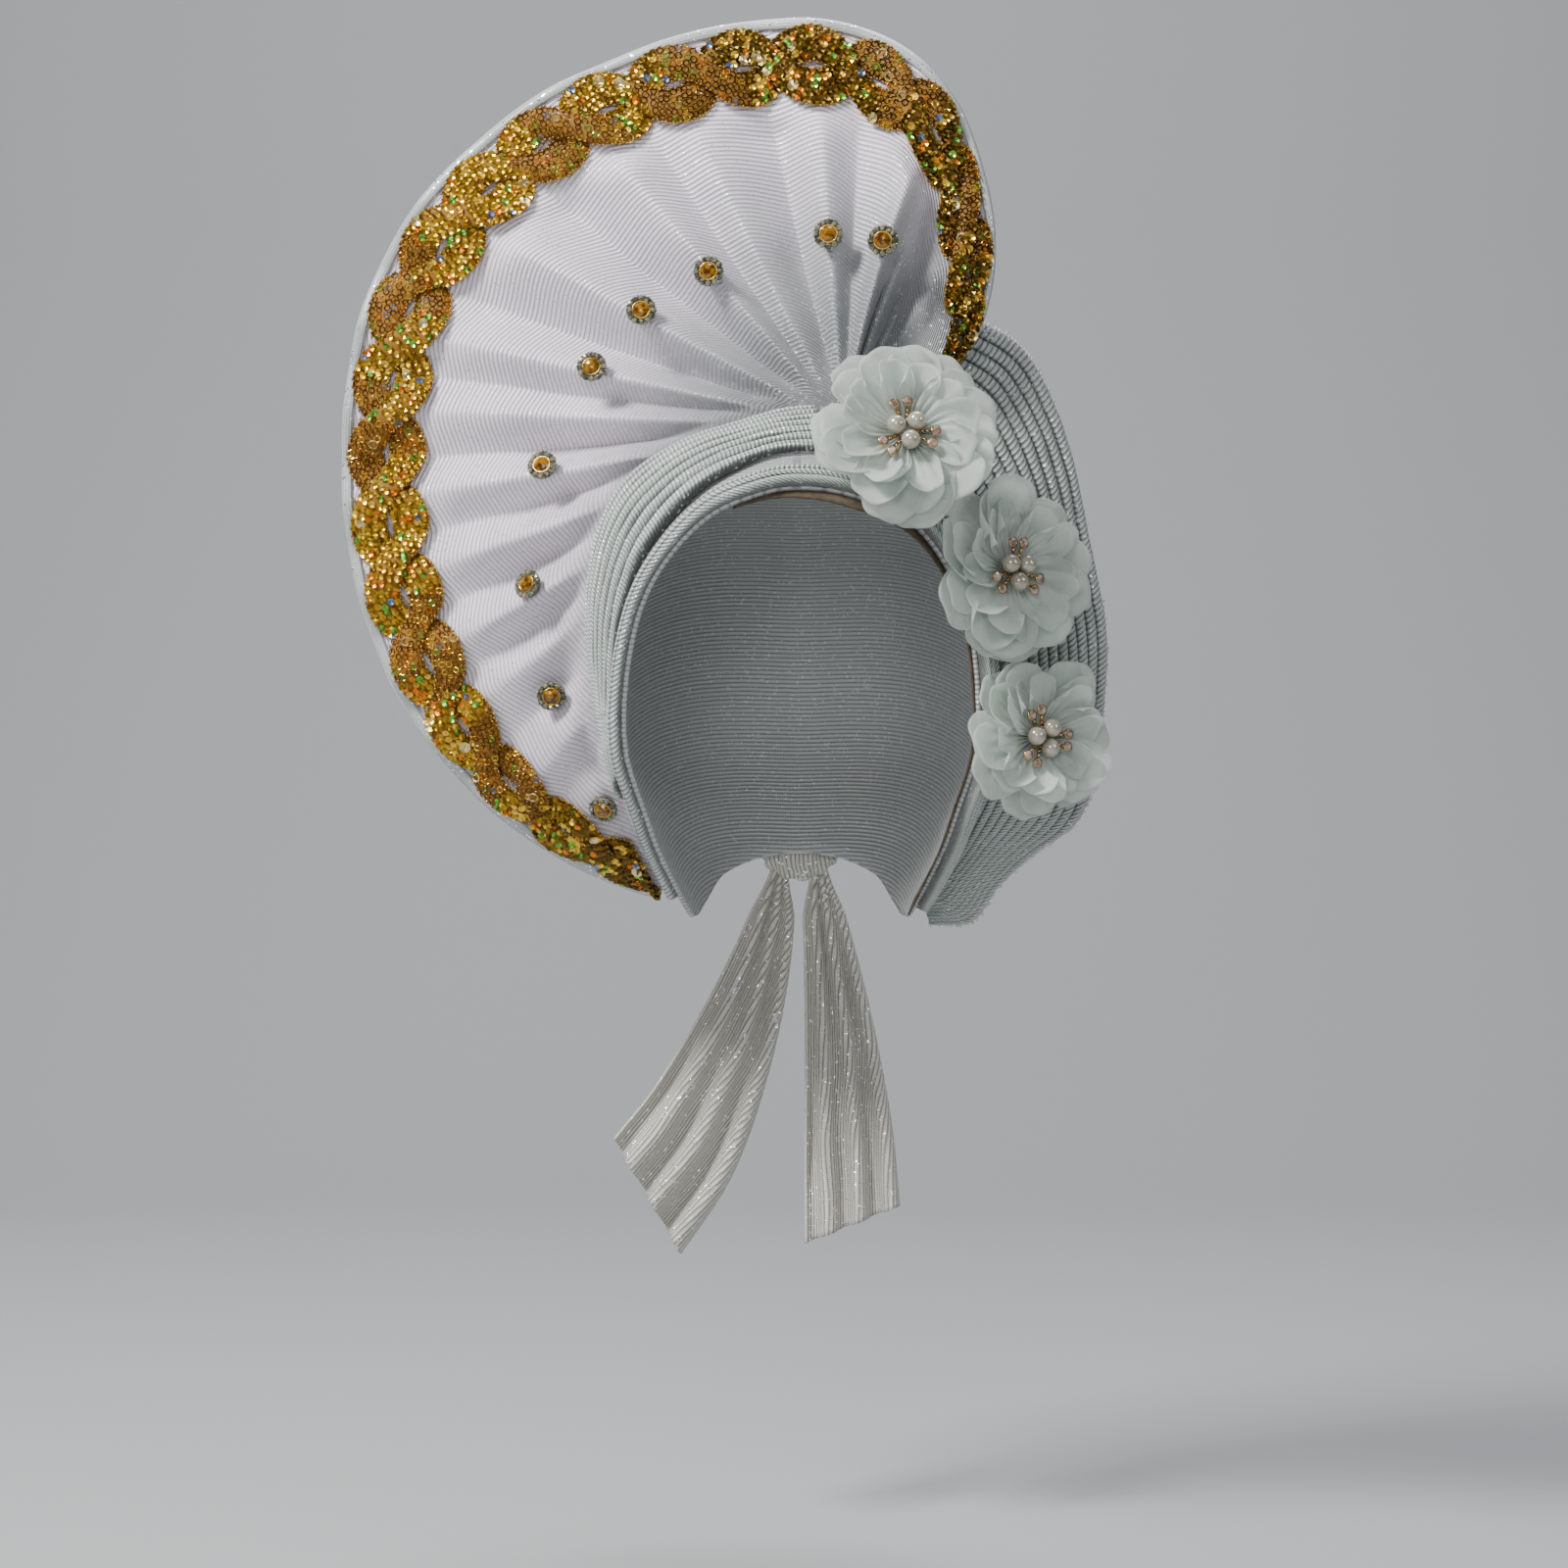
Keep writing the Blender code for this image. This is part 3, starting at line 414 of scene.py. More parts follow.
def cap_normal(point, out):
    """The outward direction of the bonnet's outside at a point of it."""
    step = 0.001
    sideways = Vector((0, 0, 1)).cross(point).normalized() * step
    across = onto_cap(point + sideways, out) - onto_cap(point - sideways, out)
    down = onto_cap(point - Vector((0, 0, step)), out) - onto_cap(point + Vector((0, 0, step)), out)
    normal = across.cross(down).normalized()
    return normal if normal.dot(Vector((point.x, point.y, point.z + CROWN_HEIGHT))) > 0 else -normal


def fold_height(turn, softness=1.0):
    """The height of the fan's folds at a turn, from -1 to 1. Low softness gives sharp creases."""
    turns = FOLDS["turn"]
    heights = FOLDS["height"]
    k = min(max(bisect.bisect_right(turns, turn) - 1, 0), len(turns) - 2)
    t = (turn - turns[k]) / (turns[k + 1] - turns[k])
    t = (1 - softness) * t + softness * ease(t)
    return heights[k] + (heights[k + 1] - heights[k]) * t


def fan_radii(turn):
    """The fan's base, the inner limit of its rim zone and its rim, from the hub."""
    base = FAN_REACH * lookup(FAN, "base", "turn", turn)
    rim = FAN_REACH * lookup(FAN, "rim", "turn", turn)
    return base, max(rim - RIM_ZONE, base + (rim - base) * ZONE_START_SHARE), rim


def fold_depth(turn, radius):
    """How deep the fan's folds are at a point, without their height there."""
    base, zone, _ = fan_radii(turn)
    inner = min(radius, zone)
    hub_radius = FAN_REACH * min(FAN["base"])
    depth = min(FOLD_DEPTH, FOLD_SLOPE * (inner - hub_radius)) * ease((inner - base) / FOLD_FADE)
    return depth * (1 + (RIM_FOLD_SHARE - 1) * ease((inner - base) / (zone - base)))


def fan_point(turn, radius):
    """A point on the middle surface of the fan."""
    base, zone, rim = fan_radii(turn)
    base_back = lookup(FAN, "base_back", "turn", turn)
    rim_back = lookup(FAN, "rim_back", "turn", turn)
    share = (radius - base) / (rim - base)
    back = FAN_SWEEP * (base_back + (rim_back - base_back) * share)
    toward_rim = ease((min(radius, zone) - base) / (zone - base))
    cup = min(FAN_CUP, FAN_CUP_SHARE * (zone - base)) * math.sin(math.pi * toward_rim)
    depth = fold_depth(turn, radius)
    angle = math.radians(turn)
    x = HUB_X + radius * math.cos(angle)
    rise = radius * math.sin(angle)
    if rise < 0:
        rise *= CAP_DROP / (FAN_REACH * FAN_FALL)
    return Vector((x, HUB_Y + back + cup - depth * fold_height(turn), HUB_Z + rise))


def fan_normal(turn, radius):
    """The direction that the front of the fan faces at a point."""
    step_turn = 1.0
    step_radius = 0.001
    across = fan_point(turn + step_turn, radius) - fan_point(turn - step_turn, radius)
    along = fan_point(turn, radius + step_radius) - fan_point(turn, radius - step_radius)
    normal = across.cross(along).normalized()
    return normal if normal.y < 0 else -normal


def measure(curve, start, end):
    """Fine steps of a curve's parameter from start to end, with the length up to each."""
    fine = [start + (end - start) * k / FINE_STEPS for k in range(FINE_STEPS + 1)]
    points = [curve(t) for t in fine]
    lengths = [0.0]
    for a, b in zip(points, points[1:]):
        lengths.append(lengths[-1] + (b - a).length)
    return fine, lengths


def even_steps(curve, start, end, count):
    """Parameters of a curve that part it into count stretches of equal length."""
    fine, lengths = measure(curve, start, end)
    steps = []
    for k in range(count + 1):
        target = lengths[-1] * k / count
        i = min(max(bisect.bisect_right(lengths, target) - 1, 0), len(fine) - 2)
        t = (target - lengths[i]) / (lengths[i + 1] - lengths[i])
        steps.append(fine[i] + (fine[i + 1] - fine[i]) * t)
    return steps


def rim_point(turn):
    """A point on the rim of the fan, seen flat from the front."""
    rim = fan_radii(turn)[2]
    return Vector((rim * math.cos(math.radians(turn)), rim * math.sin(math.radians(turn))))


def base_point(turn):
    """A point on the base of the fan."""
    return fan_point(turn, fan_radii(turn)[0])


def edge_point(turn):
    """A point on the edge of the bonnet."""
    return cap_point(turn, edge_level(turn), CAP_WALL)


# Camera, as the photograph is taken, and the stage
CAMERA_PLACE = (-0.0065, -1.330, -0.137)
CAMERA_LENS = 76.0
SENSOR = 36.0
FLOOR_LEVEL = -0.46
AIM = (0.0, 0.0, -0.06)

# Every piece rides on the one body. Each mesh holds one material.
BODY = "root"
TINY = 1e-12

# Lamps: place, what they face, size, power and colour
LAMPS = table(
    "name place target size power colour",
    ("key", (-0.95, -0.80, 1.05), AIM, (0.4, 0.4), 46.0, (1.0, 0.985, 0.97)),
    ("fill", (1.3, -0.9, 0.5), AIM, (0.5, 0.5), 5.0, (0.94, 0.98, 1.0)),
    ("front", (-0.2, -1.6, 0.3), AIM, (0.5, 0.5), 6.0, (1.0, 0.99, 1.0)),
    ("top", (0.1, 0.25, 1.3), AIM, (0.7, 0.5), 12.0, (1.0, 0.88, 1.0)),
    ("wall", (0.0, 0.6, 1.6), (0.0, 2.0, -0.1), (2.0, 0.8), 18.0, (0.97, 0.97, 1.0)),
)
SKY = (0.86, 0.87, 0.90)
SKY_STRENGTH = 0.20


# Meshes


def numbers(points):
    """A grid of vectors as an array of rows, columns and three coordinates."""
    return np.array([[tuple(p) for p in row] for row in points])


def unit(v):
    """Vectors of length one."""
    return v / np.maximum(np.linalg.norm(v, axis=-1, keepdims=True), TINY)


def normals_of(grid, toward, looped=False):
    """Unit normals of a grid, turned to the side of the direction toward."""
    if looped:
        grid = np.concatenate([grid[:, -1:], grid, grid[:, :1]], axis=1)
    n = unit(np.cross(np.gradient(grid, axis=0), np.gradient(grid, axis=1)))
    if looped:
        n = n[:, 1:-1]
    side = np.sign((n * np.array(toward)).sum(axis=-1, keepdims=True))
    return n * np.where(side == 0, 1, side)


def lengths_along(grid, axis):
    """The length walked along one axis of a grid."""
    steps = np.linalg.norm(np.diff(grid, axis=axis), axis=-1)
    pad = [(0, 0), (0, 0)]
    pad[axis] = (1, 0)
    return np.cumsum(np.pad(steps, pad), axis=axis)


def cloth_uv(grid):
    """The cloth's own coordinates: the lengths walked along its rows and its columns."""
    return np.stack([lengths_along(grid, 1), lengths_along(grid, 0)], -1)


def build_mesh(name, points, faces, material, stands_for=None, uv=None, tone=None, soft=True):
    """One object from points and faces that all have the same number of corners."""
    mesh = bpy.data.meshes.new(name)
    points = np.asarray(points, dtype=np.float32).reshape(-1, 3)
    faces = np.asarray(faces, dtype=np.int32)
    starts = np.arange(len(faces), dtype=np.int32) * faces.shape[1]
    mesh.vertices.add(len(points))
    mesh.vertices.foreach_set("co", points.ravel())
    mesh.loops.add(faces.size)
    mesh.loops.foreach_set("vertex_index", faces.ravel())
    mesh.polygons.add(len(faces))
    mesh.polygons.foreach_set("loop_start", starts)
    mesh.polygons.foreach_set("use_smooth", np.full(len(faces), soft))
    if uv is not None:
        layer = mesh.uv_layers.new(name="UVMap")
        layer.data.foreach_set("uv", np.asarray(uv, dtype=np.float32)[faces.ravel()].ravel())
    if tone is not None:
        layer = mesh.color_attributes.new(name="tone", type="FLOAT_COLOR", domain="POINT")
        full = np.concatenate([tone, np.ones((len(tone), 1))], axis=1).astype(np.float32)
        layer.data.foreach_set("color", full.ravel())
    mesh.update(calc_edges=True)
    mesh.validate()
    mesh.materials.append(material)
    item = bpy.data.objects.new(name, mesh)
    bpy.context.scene.collection.objects.link(item)
    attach(item, BODY)
    if stands_for:
        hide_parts(stands_for)
    return item


def grid_faces(rows, columns, looped=False, start=0):
    """Four-cornered faces of a grid of points."""
    index = np.arange(rows * columns).reshape(rows, columns) + start
    if looped:
        index = np.concatenate([index, index[:, :1]], axis=1)
    corners = (index[:-1, :-1], index[:-1, 1:], index[1:, 1:], index[1:, :-1])
    return np.stack([c.ravel() for c in corners], axis=1)


def cloth(name, grids, toward, wall, material, stands_for=None, uv=None, looped=False):
    """Walls of cloth with closed edges, laid half to each side of one grid or of several."""
    points, faces, uvs, start = [], [], [], 0
    for grid in grids if isinstance(grids, list) else [grids]:
        rows, columns = grid.shape[:2]
        count = rows * columns
        outward = normals_of(grid, toward, looped) * wall / 2
        points += [(grid + outward).reshape(-1, 3), (grid - outward).reshape(-1, 3)]
        faces.append(grid_faces(rows, columns, looped, start))
        faces.append(grid_faces(rows, columns, looped, start + count)[:, ::-1])
        index = np.arange(count).reshape(rows, columns) + start
        edges = [index[0], index[-1][::-1]]
        if looped:
            edges = [np.append(edge, edge[0]) for edge in edges]
        else:
            edges += [index[:, 0][::-1], index[:, -1]]
        for e in edges:
            faces.append(np.stack([e[1:], e[:-1], e[:-1] + count, e[1:] + count], axis=1))
        uvs += [(cloth_uv(grid) if uv is None else uv).reshape(-1, 2)] * 2
        start += 2 * count
    points, faces, uvs = (np.concatenate(parts) for parts in (points, faces, uvs))
    return build_mesh(name, points, faces, material, stands_for, uv=uvs)


def scatter(name, shape, places, frames, sizes, material, tones=None, stands_for=None, soft=True):
    """One joined mesh of a small shape, given by its points and faces, set at many places."""
    template, faces = (np.asarray(part) for part in shape)
    places = np.array([tuple(p) for p in places])
    count = len(places)
    frames = np.broadcast_to(frames, (count, 3, 3))
    local = template[None] * np.broadcast_to(sizes, (count,))[:, None, None]
    points = places[:, None] + np.einsum("nij,nkj->nki", frames, local)
    offsets = np.arange(count)[:, None, None] * len(template)
    every = (faces[None] + offsets).reshape(-1, faces.shape[1])
    if tones is not None:
        tones = np.repeat(np.broadcast_to(tones, (count, 3)), len(template), axis=0)
    return build_mesh(name, points, every, material, stands_for, tone=tones, soft=soft)


def revolved(profile, sides):
    """Points and faces of a small turned shape from (radius, height) pairs."""
    angles = [2 * math.pi * j / sides for j in range(sides)]
    points = [(r * math.cos(a), r * math.sin(a), height) for r, height in profile for a in angles]
    return np.array(points), grid_faces(len(profile), sides, looped=True)


def bead(length, width, height):
    """Points and faces of a small eight-sided bead."""
    points = []
    for sign in (1, -1):
        points += [(sign * length, 0, 0), (0, sign * width, 0)]
    points += [(0, 0, height), (0, 0, -height)]
    faces = [(0, 1, 4), (1, 2, 4), (2, 3, 4), (3, 0, 4), (1, 0, 5), (2, 1, 5), (3, 2, 5), (0, 3, 5)]
    return points, faces


def frames_of(normals, along):
    """3 by 3 frames whose third column is the normal and whose first lies near along."""
    z = unit(normals)
    x = unit(along - z * (along * z).sum(axis=-1, keepdims=True))
    return np.stack([x, np.cross(z, x), z], axis=-1)


def tilted(frames, rng, amount):
    """Frames tipped by small random angles about their own axes."""
    a = rng.normal(0, amount, (len(frames), 1))
    b = rng.normal(0, amount, (len(frames), 1))
    z = unit(frames[:, :, 2] + frames[:, :, 0] * a + frames[:, :, 1] * b)
    return frames_of(z, frames[:, :, 0])


class Patch:
    """A grid of points that can be read between its points, with its normals."""

    def __init__(self, grid, toward):
        self.grid = grid
        self.normals = normals_of(grid, toward)

    def read(self, array, a, b):
        rows, columns = array.shape[:2]
        i = np.clip(a * (rows - 1), 0, rows - 1 - MERGE)
        j = np.clip(b * (columns - 1), 0, columns - 1 - MERGE)
        i0, j0 = i.astype(int), j.astype(int)
        u, v = (i - i0)[..., None], (j - j0)[..., None]
        near = array[i0, j0] * (1 - v) + array[i0, j0 + 1] * v
        far = array[i0 + 1, j0] * (1 - v) + array[i0 + 1, j0 + 1] * v
        return near * (1 - u) + far * u

    def at(self, a, b, height):
        return self.read(self.grid, a, b) + self.normal(a, b) * np.asarray(height)[..., None]

    def normal(self, a, b):
        return unit(self.read(self.normals, a, b))


def tube(name, path, radius, material, sides):
    """A round cord along a line of points."""
    path = numbers([path])[0]
    along = unit(np.gradient(path, axis=0))
    side = unit(np.cross(along, np.array([0.13, 0.21, 0.97])))
    other = np.cross(along, side)
    radius = np.broadcast_to(radius, (len(path),))[:, None, None]
    angles = np.linspace(0, 2 * math.pi, sides, endpoint=False)[None, :, None]
    ring = side[:, None] * np.cos(angles) + other[:, None] * np.sin(angles)
    faces = grid_faces(len(path), sides, looped=True)
    return build_mesh(name, path[:, None] + ring * radius, faces, material)


# Materials: pitches of the cloth's ribs and threads, and of the lines of painted shade in the
# valleys of its folds
RIB_PITCH = 0.00185
THREAD_PITCH = 0.0009
WING_SHADE_LINE = 0.004
ROPE_SHADE_LINE = 0.004
RIB_CREST = 0.55
GLITTER_TINT = (0.97, 0.98, 1.0)
FLECKS_PER_METRE = 1250.0

# Painted shade: the fan's cloth darkens toward the hub, where it lies back in shade behind the
# gather and the flower, from one distance to the other
HUB = (0.030, -0.045, 0.000)
HUB_SHADE = (0.035, 0.135)
HUB_SHADE_TINT = (0.18, 0.21, 0.20)


class Look:
    """A node material with short calls for its nodes."""

    def __init__(self, name, **values):
        self.material = bpy.data.materials.new(name)
        self.material.use_nodes = True
        self.nodes = self.material.node_tree.nodes
        self.shader = self.nodes["Principled BSDF"]
        self.finish(**values)

    def put(self, node, key, value):
        socket = node.inputs[key]
        if isinstance(value, bpy.types.NodeSocket):
            self.material.node_tree.links.new(value, socket)
        else:
            socket.default_value = (*value, 1.0) if socket.type == "RGBA" else value

    def node(self, kind, values=None, **settings):
        node = self.nodes.new("ShaderNode" + kind)
        for key, value in settings.items():
            setattr(node, key, value)
        for key, value in (values or {}).items():
            self.put(node, key, value)
        return node

    def math(self, operation, a, b=0.0):
        return self.node("Math", {0: a, 1: b}, operation=operation).outputs[0]

    def add(self, a, b):
        return self.math("ADD", a, b)

    def times(self, a, b):
        return self.math("MULTIPLY", a, b)

    def place(self):
        return self.node("TexCoord").outputs["Object"]

    def noise(self, scale, detail=3.0):
        values = {"Vector": self.place(), "Scale": scale, "Detail": detail, "Roughness": 0.55}
        return self.node("TexNoise", values).outputs["Fac"]

    def ramp(self, value, low, high):
        values = {"Value": value, "From Min": low, "From Max": high}
        return self.node("MapRange", values, interpolation_type="SMOOTHSTEP").outputs["Result"]

    def softened(self, line, share):
        return self.add(self.times(line, share), 1 - share)

    def ridges(self, walked, pitch, stray=0.0):
        """Broad crests from 0 to 1 at even steps of a length."""
        phase = self.add(self.times(walked, 2 * math.pi / pitch), stray)
        wave = self.add(self.times(self.math("SINE", phase), 0.5), 0.5)
        return self.math("POWER", wave, RIB_CREST)

    def mix(self, share, a, b):
        return self.node("Mix", {0: share, 6: a, 7: b}, data_type="RGBA").outputs[2]

    def bump(self, height, distance, strength):
        values = {"Height": height, "Distance": distance, "Strength": strength}
        return self.node("Bump", values)

    def finish(self, **values):
        for key, value in values.items():
            self.put(self.shader, key.replace("_", " "), value)
        return self.material


def shaded(tint, share):
    """A tint times a share."""
    return [c * share for c in tint]


def ribbed_cloth(name, light, valley_shade, pitch=RIB_PITCH, cross=0.0, depth=0.0005, glitter=0.5,
                 wander=2.2, hub_shade_tint=None, shares=(1.0, 1.0)):
    """Ribbed metallised cloth: fine ribs at even steps of its second coordinate, and cross lines
    at steps of its first, with painted shade in the valleys of both. The shares say how deep the
    painted shade in the valleys of each is. A hub shade tint adds painted shade toward the fan's
    hub."""
    look = Look(name, Roughness=0.5, Sheen_Weight=0.25, Sheen_Roughness=0.4)
    split = look.node("SeparateXYZ", {0: look.node("UVMap").outputs[0]})
    across, along = split.outputs[:2]
    rib = look.ridges(along, pitch, look.times(look.add(look.noise(70.0), -0.5), wander))
    weave = look.times(look.math("SINE", look.times(across, 2 * math.pi / THREAD_PITCH)), 0.12)
    height = look.add(rib, weave)
    # Painted shade: the colour darkens in the valleys of the ribs and of the cross lines
    line = look.softened(look.ramp(rib, 0.0, 0.72), shares[0])
    if cross > 0:
        row = look.ridges(across, cross)
        height = look.add(height, row)
        line = look.times(line, look.softened(look.ramp(row, 0.0, 0.8), shares[1]))
    tint = look.mix(look.ramp(look.noise(9.0, 4.0), 0.35, 0.7), light, shaded(light, 0.93))
    # Painted shade: toward the fan's hub the colour darkens to the hub's shade tint
    if hub_shade_tint is not None:
        away = look.node("VectorMath", {0: look.place(), 1: HUB}, operation="DISTANCE")
        tint = look.mix(look.ramp(away.outputs["Value"], *HUB_SHADE), hub_shade_tint, tint)
    colour = look.mix(line, valley_shade, tint)
    flecks = look.node("TexVoronoi", {"Vector": look.place(), "Scale": FLECKS_PER_METRE})
    chance = look.node("SeparateXYZ", {0: flecks.outputs["Color"]}).outputs[0]
    spark = look.times(look.ramp(chance, 0.93, 0.96), glitter)
    tilt = look.times(look.times(chance, spark), 1.6)
    fine = look.bump(look.add(look.noise(1100.0, 2.0), tilt), 0.00012, 0.6)
    coarse = look.bump(height, depth, 0.75)
    look.put(coarse, "Normal", fine.outputs[0])
    dull = look.ramp(look.noise(60.0), -0.6, 1.9)
    return look.finish(
        Base_Color=look.mix(spark, colour, GLITTER_TINT),
        Normal=coarse.outputs[0],
        Roughness=look.math("SUBTRACT", dull, look.times(spark, 0.3)),
        Metallic=look.add(look.times(spark, 0.8), 0.08),
    )


def sheer_cloth(name, light, clear, scale, grain):
    """Thin cloth that lets some light through."""
    look = Look(name, Roughness=0.62, Sheen_Weight=0.2)
    veins = look.noise(scale, 2.0)
    drift = look.noise(55.0, 4.0)
    colour = look.mix(look.ramp(drift, 0.3, 0.75), light, shaded(light, 0.86))
    normal = look.bump(look.add(veins, look.times(drift, 3.0)), 0.0002, grain).outputs[0]
    material = look.finish(Base_Color=colour, Normal=normal)
    through = look.node("BsdfTranslucent", {"Color": colour, "Normal": normal})
    blend = look.node("MixShader", {0: 0.42, 1: look.shader.outputs[0], 2: through.outputs[0]})
    gap = look.node("BsdfTransparent")
    weave = look.add(look.times(look.ramp(veins, 0.3, 0.7), 0.06), clear)
    last = look.node("MixShader", {0: weave, 1: blend.outputs[0], 2: gap.outputs[0]})
    look.put(look.nodes["Material Output"], "Surface", last.outputs[0])
    return material


def toned(name, roughness, metallic, scale=400.0, relief=0.0001):
    """A material that takes its colour from each small piece's own tone."""
    look = Look(name, Metallic=metallic, Coat_Weight=0.3, Coat_Roughness=0.1)
    tone = look.node("Attribute", attribute_name="tone").outputs["Color"]
    grain = look.noise(scale, 2.0)
    stained = look.mix(0.25, tone, (0.12, 0.07, 0.02))
    return look.finish(
        Base_Color=look.mix(look.ramp(grain, 0.2, 0.8), tone, stained),
        Normal=look.bump(grain, relief, 0.5).outputs[0],
        Roughness=look.add(look.times(grain, 0.12), roughness - 0.05),
    )


def mottled(name, deep, bright, drift, spread, grain, relief, strength, **values):
    """A material whose colour drifts between two tints, with a fine relief."""
    look = Look(name, **values)
    return look.finish(
        Base_Color=look.mix(look.ramp(look.noise(*drift), *spread), deep, bright),
        Normal=look.bump(look.noise(*grain), relief, strength).outputs[0],
    )


def gem(name, deep, bright):
    """A cut stone."""
    return mottled(
        name, deep, bright, (500.0, 2.0), (0.35, 0.65), (900.0, 2.0), 0.00004, 0.4,
        Roughness=0.06, Transmission_Weight=0.1, IOR=1.5, Coat_Weight=0.3, Coat_Roughness=0.03,
    )


# Painted shade: the fan's cloth darkens toward its hub and in the valleys of its ribs
fan_look = ribbed_cloth("fan_cloth", (0.95, 0.885, 0.96), (0.47, 0.45, 0.51), hub_shade_tint=HUB_SHADE_TINT)
edge_look = ribbed_cloth(
    "fan_edge_cloth", (0.50, 0.53, 0.53), (0.34, 0.36, 0.36), pitch=0.0009, depth=0.0001, glitter=1.0
)
wire_look = ribbed_cloth(
    "edge_wire", (0.42, 0.44, 0.45), (0.30, 0.31, 0.32), pitch=0.003, glitter=0.2
)
# Painted shade: the wing's cloth is a darker grey-green copy of the fan's, for the shade it lies in,
# with deep painted shade in the valleys of its pleats
wing_painted_shade_look = ribbed_cloth(
    "wing_cloth", (0.45, 0.50, 0.475), (0.05, 0.06, 0.057),
    pitch=WING_SHADE_LINE, cross=0.0022, depth=0.0007, wander=0.3, shares=(1.0, 0.8),
)
cap_look = ribbed_cloth("cap_cloth", (0.46, 0.49, 0.48), (0.24, 0.25, 0.25), glitter=0.3)
# Painted shade: the nested folds are a darker grey-green copy of the fan's cloth, for the shade they
# lie in, with painted shade in their valleys
gather_painted_shade_look = ribbed_cloth(
    "gather_cloth", (0.62, 0.70, 0.655), (0.05, 0.06, 0.058),
    pitch=0.0017, cross=ROPE_SHADE_LINE, depth=0.0006, wander=0.5, shares=(0.6, 1.0),
)
knot_look = ribbed_cloth("knot_cloth", (0.70, 0.74, 0.725), (0.25, 0.26, 0.26))
# Painted shade: the band is a darker grey-green copy of the fan's cloth, for the shade it lies in,
# with painted shade between its rolls
band_painted_shade_look = ribbed_cloth(
    "band_cloth", (0.62, 0.70, 0.655), (0.06, 0.07, 0.068),
    pitch=0.0021, cross=ROPE_SHADE_LINE, depth=0.0009, wander=0.5, shares=(0.85, 0.8),
)
tie_look = ribbed_cloth("tie_cloth", (0.56, 0.55, 0.49), (0.19, 0.185, 0.155), glitter=1.0)
petal_look = sheer_cloth("petal_chiffon", (0.78, 0.84, 0.79), 0.34, 260.0, 0.3)
gauze_look = sheer_cloth("peach_gauze", (0.50, 0.235, 0.018), 0.03, 700.0, 0.7)
sequin_look = toned("sequin_gold", 0.31, 1.0)
cord_look = toned("gold_cord", 0.38, 0.7, 900.0, 0.0002)
gilt_look = toned("gilt", 0.22, 0.95, 500.0, 0.00008)
plate_look = toned("stud_plate", 0.5, 0.3, 500.0, 0.00008)
rib_end_look = toned("rib_ends", 0.6, 0.1, 900.0)
pearl_look = mottled(
    "ivory_pearl", (0.38, 0.35, 0.27), (0.47, 0.435, 0.35),
    (160.0, 3.0), (0.3, 0.7), (160.0, 3.0), 0.00005, 0.4,
    Roughness=0.2, Metallic=0.35, Coat_Weight=1.0, Coat_Roughness=0.05,
)
# Partly painted shade: the brown edge is near black, partly its own brown and partly the shade
# inside the opening
brown_edge_shade_look = mottled(
    "brown_edge", (0.05, 0.036, 0.02), (0.10, 0.072, 0.042),
    (300.0, 3.0), (0.3, 0.7), (300.0, 3.0), 0.0002, 0.6, Roughness=0.8,
)
amber_look = gem("amber_stone", (0.06, 0.022, 0.0005), (0.36, 0.165, 0.003))
crystal_look = gem("grey_crystal", (0.05, 0.05, 0.033), (0.26, 0.26, 0.19))
rose_look = gem("rose_crystal", (0.20, 0.12, 0.08), (0.60, 0.46, 0.38))


# Bonnet: columns and lines of its mesh, and how its lines crowd toward the crown and close it
CAP_COLUMNS = 180
CAP_LINES = 46
CAP_CROWDING = 1.3
CROWN_DIP = 0.00002
CROWN_SHARES = (0.02, 0.25, 0.5, 0.75)


def make_bonnet():
    """The bonnet's wall, closed at the crown."""
    turns = np.linspace(0, 360, CAP_COLUMNS, endpoint=False)
    grid = []
    for i in range(CAP_LINES + 1):
        share = (i / CAP_LINES) ** CAP_CROWDING
        levels = [min(edge_level(t) * share, -CROWN_DIP) for t in turns]
        grid.append([cap_point(t, level, CAP_WALL / 2) for t, level in zip(turns, levels)])
    grid = numbers(grid)
    top = grid[:1].mean(axis=1, keepdims=True)
    grid = np.concatenate([top + (grid[:1] - top) * share for share in CROWN_SHARES] + [grid])
    along = lengths_along(grid, 0)
    uv = np.stack([np.broadcast_to(turns / 360 * 0.5, along.shape), along], -1)
    outward = grid - (0, 0, -CROWN_HEIGHT)
    item = cloth("bonnet", grid, outward, CAP_WALL, cap_look, "cap", uv, looped=True)


make_bonnet()


# Folded band round the opening: how far its rolls stand out and lean over the edge at the sides,
# and the turns over which one roll becomes three and the sides begin
BAND_COLUMNS = 230
BAND_LINES = 30
BAND_CLOTH = 0.0008
BAND_SPREAD = 0.9
BAND_LEAN = 0.0024
BAND_FULLER = 1.05
ROLLS_START_TURN = -30.0
ROLLS_TURN_SPAN = 50.0
BAND_SIDE_TURN = 60.0


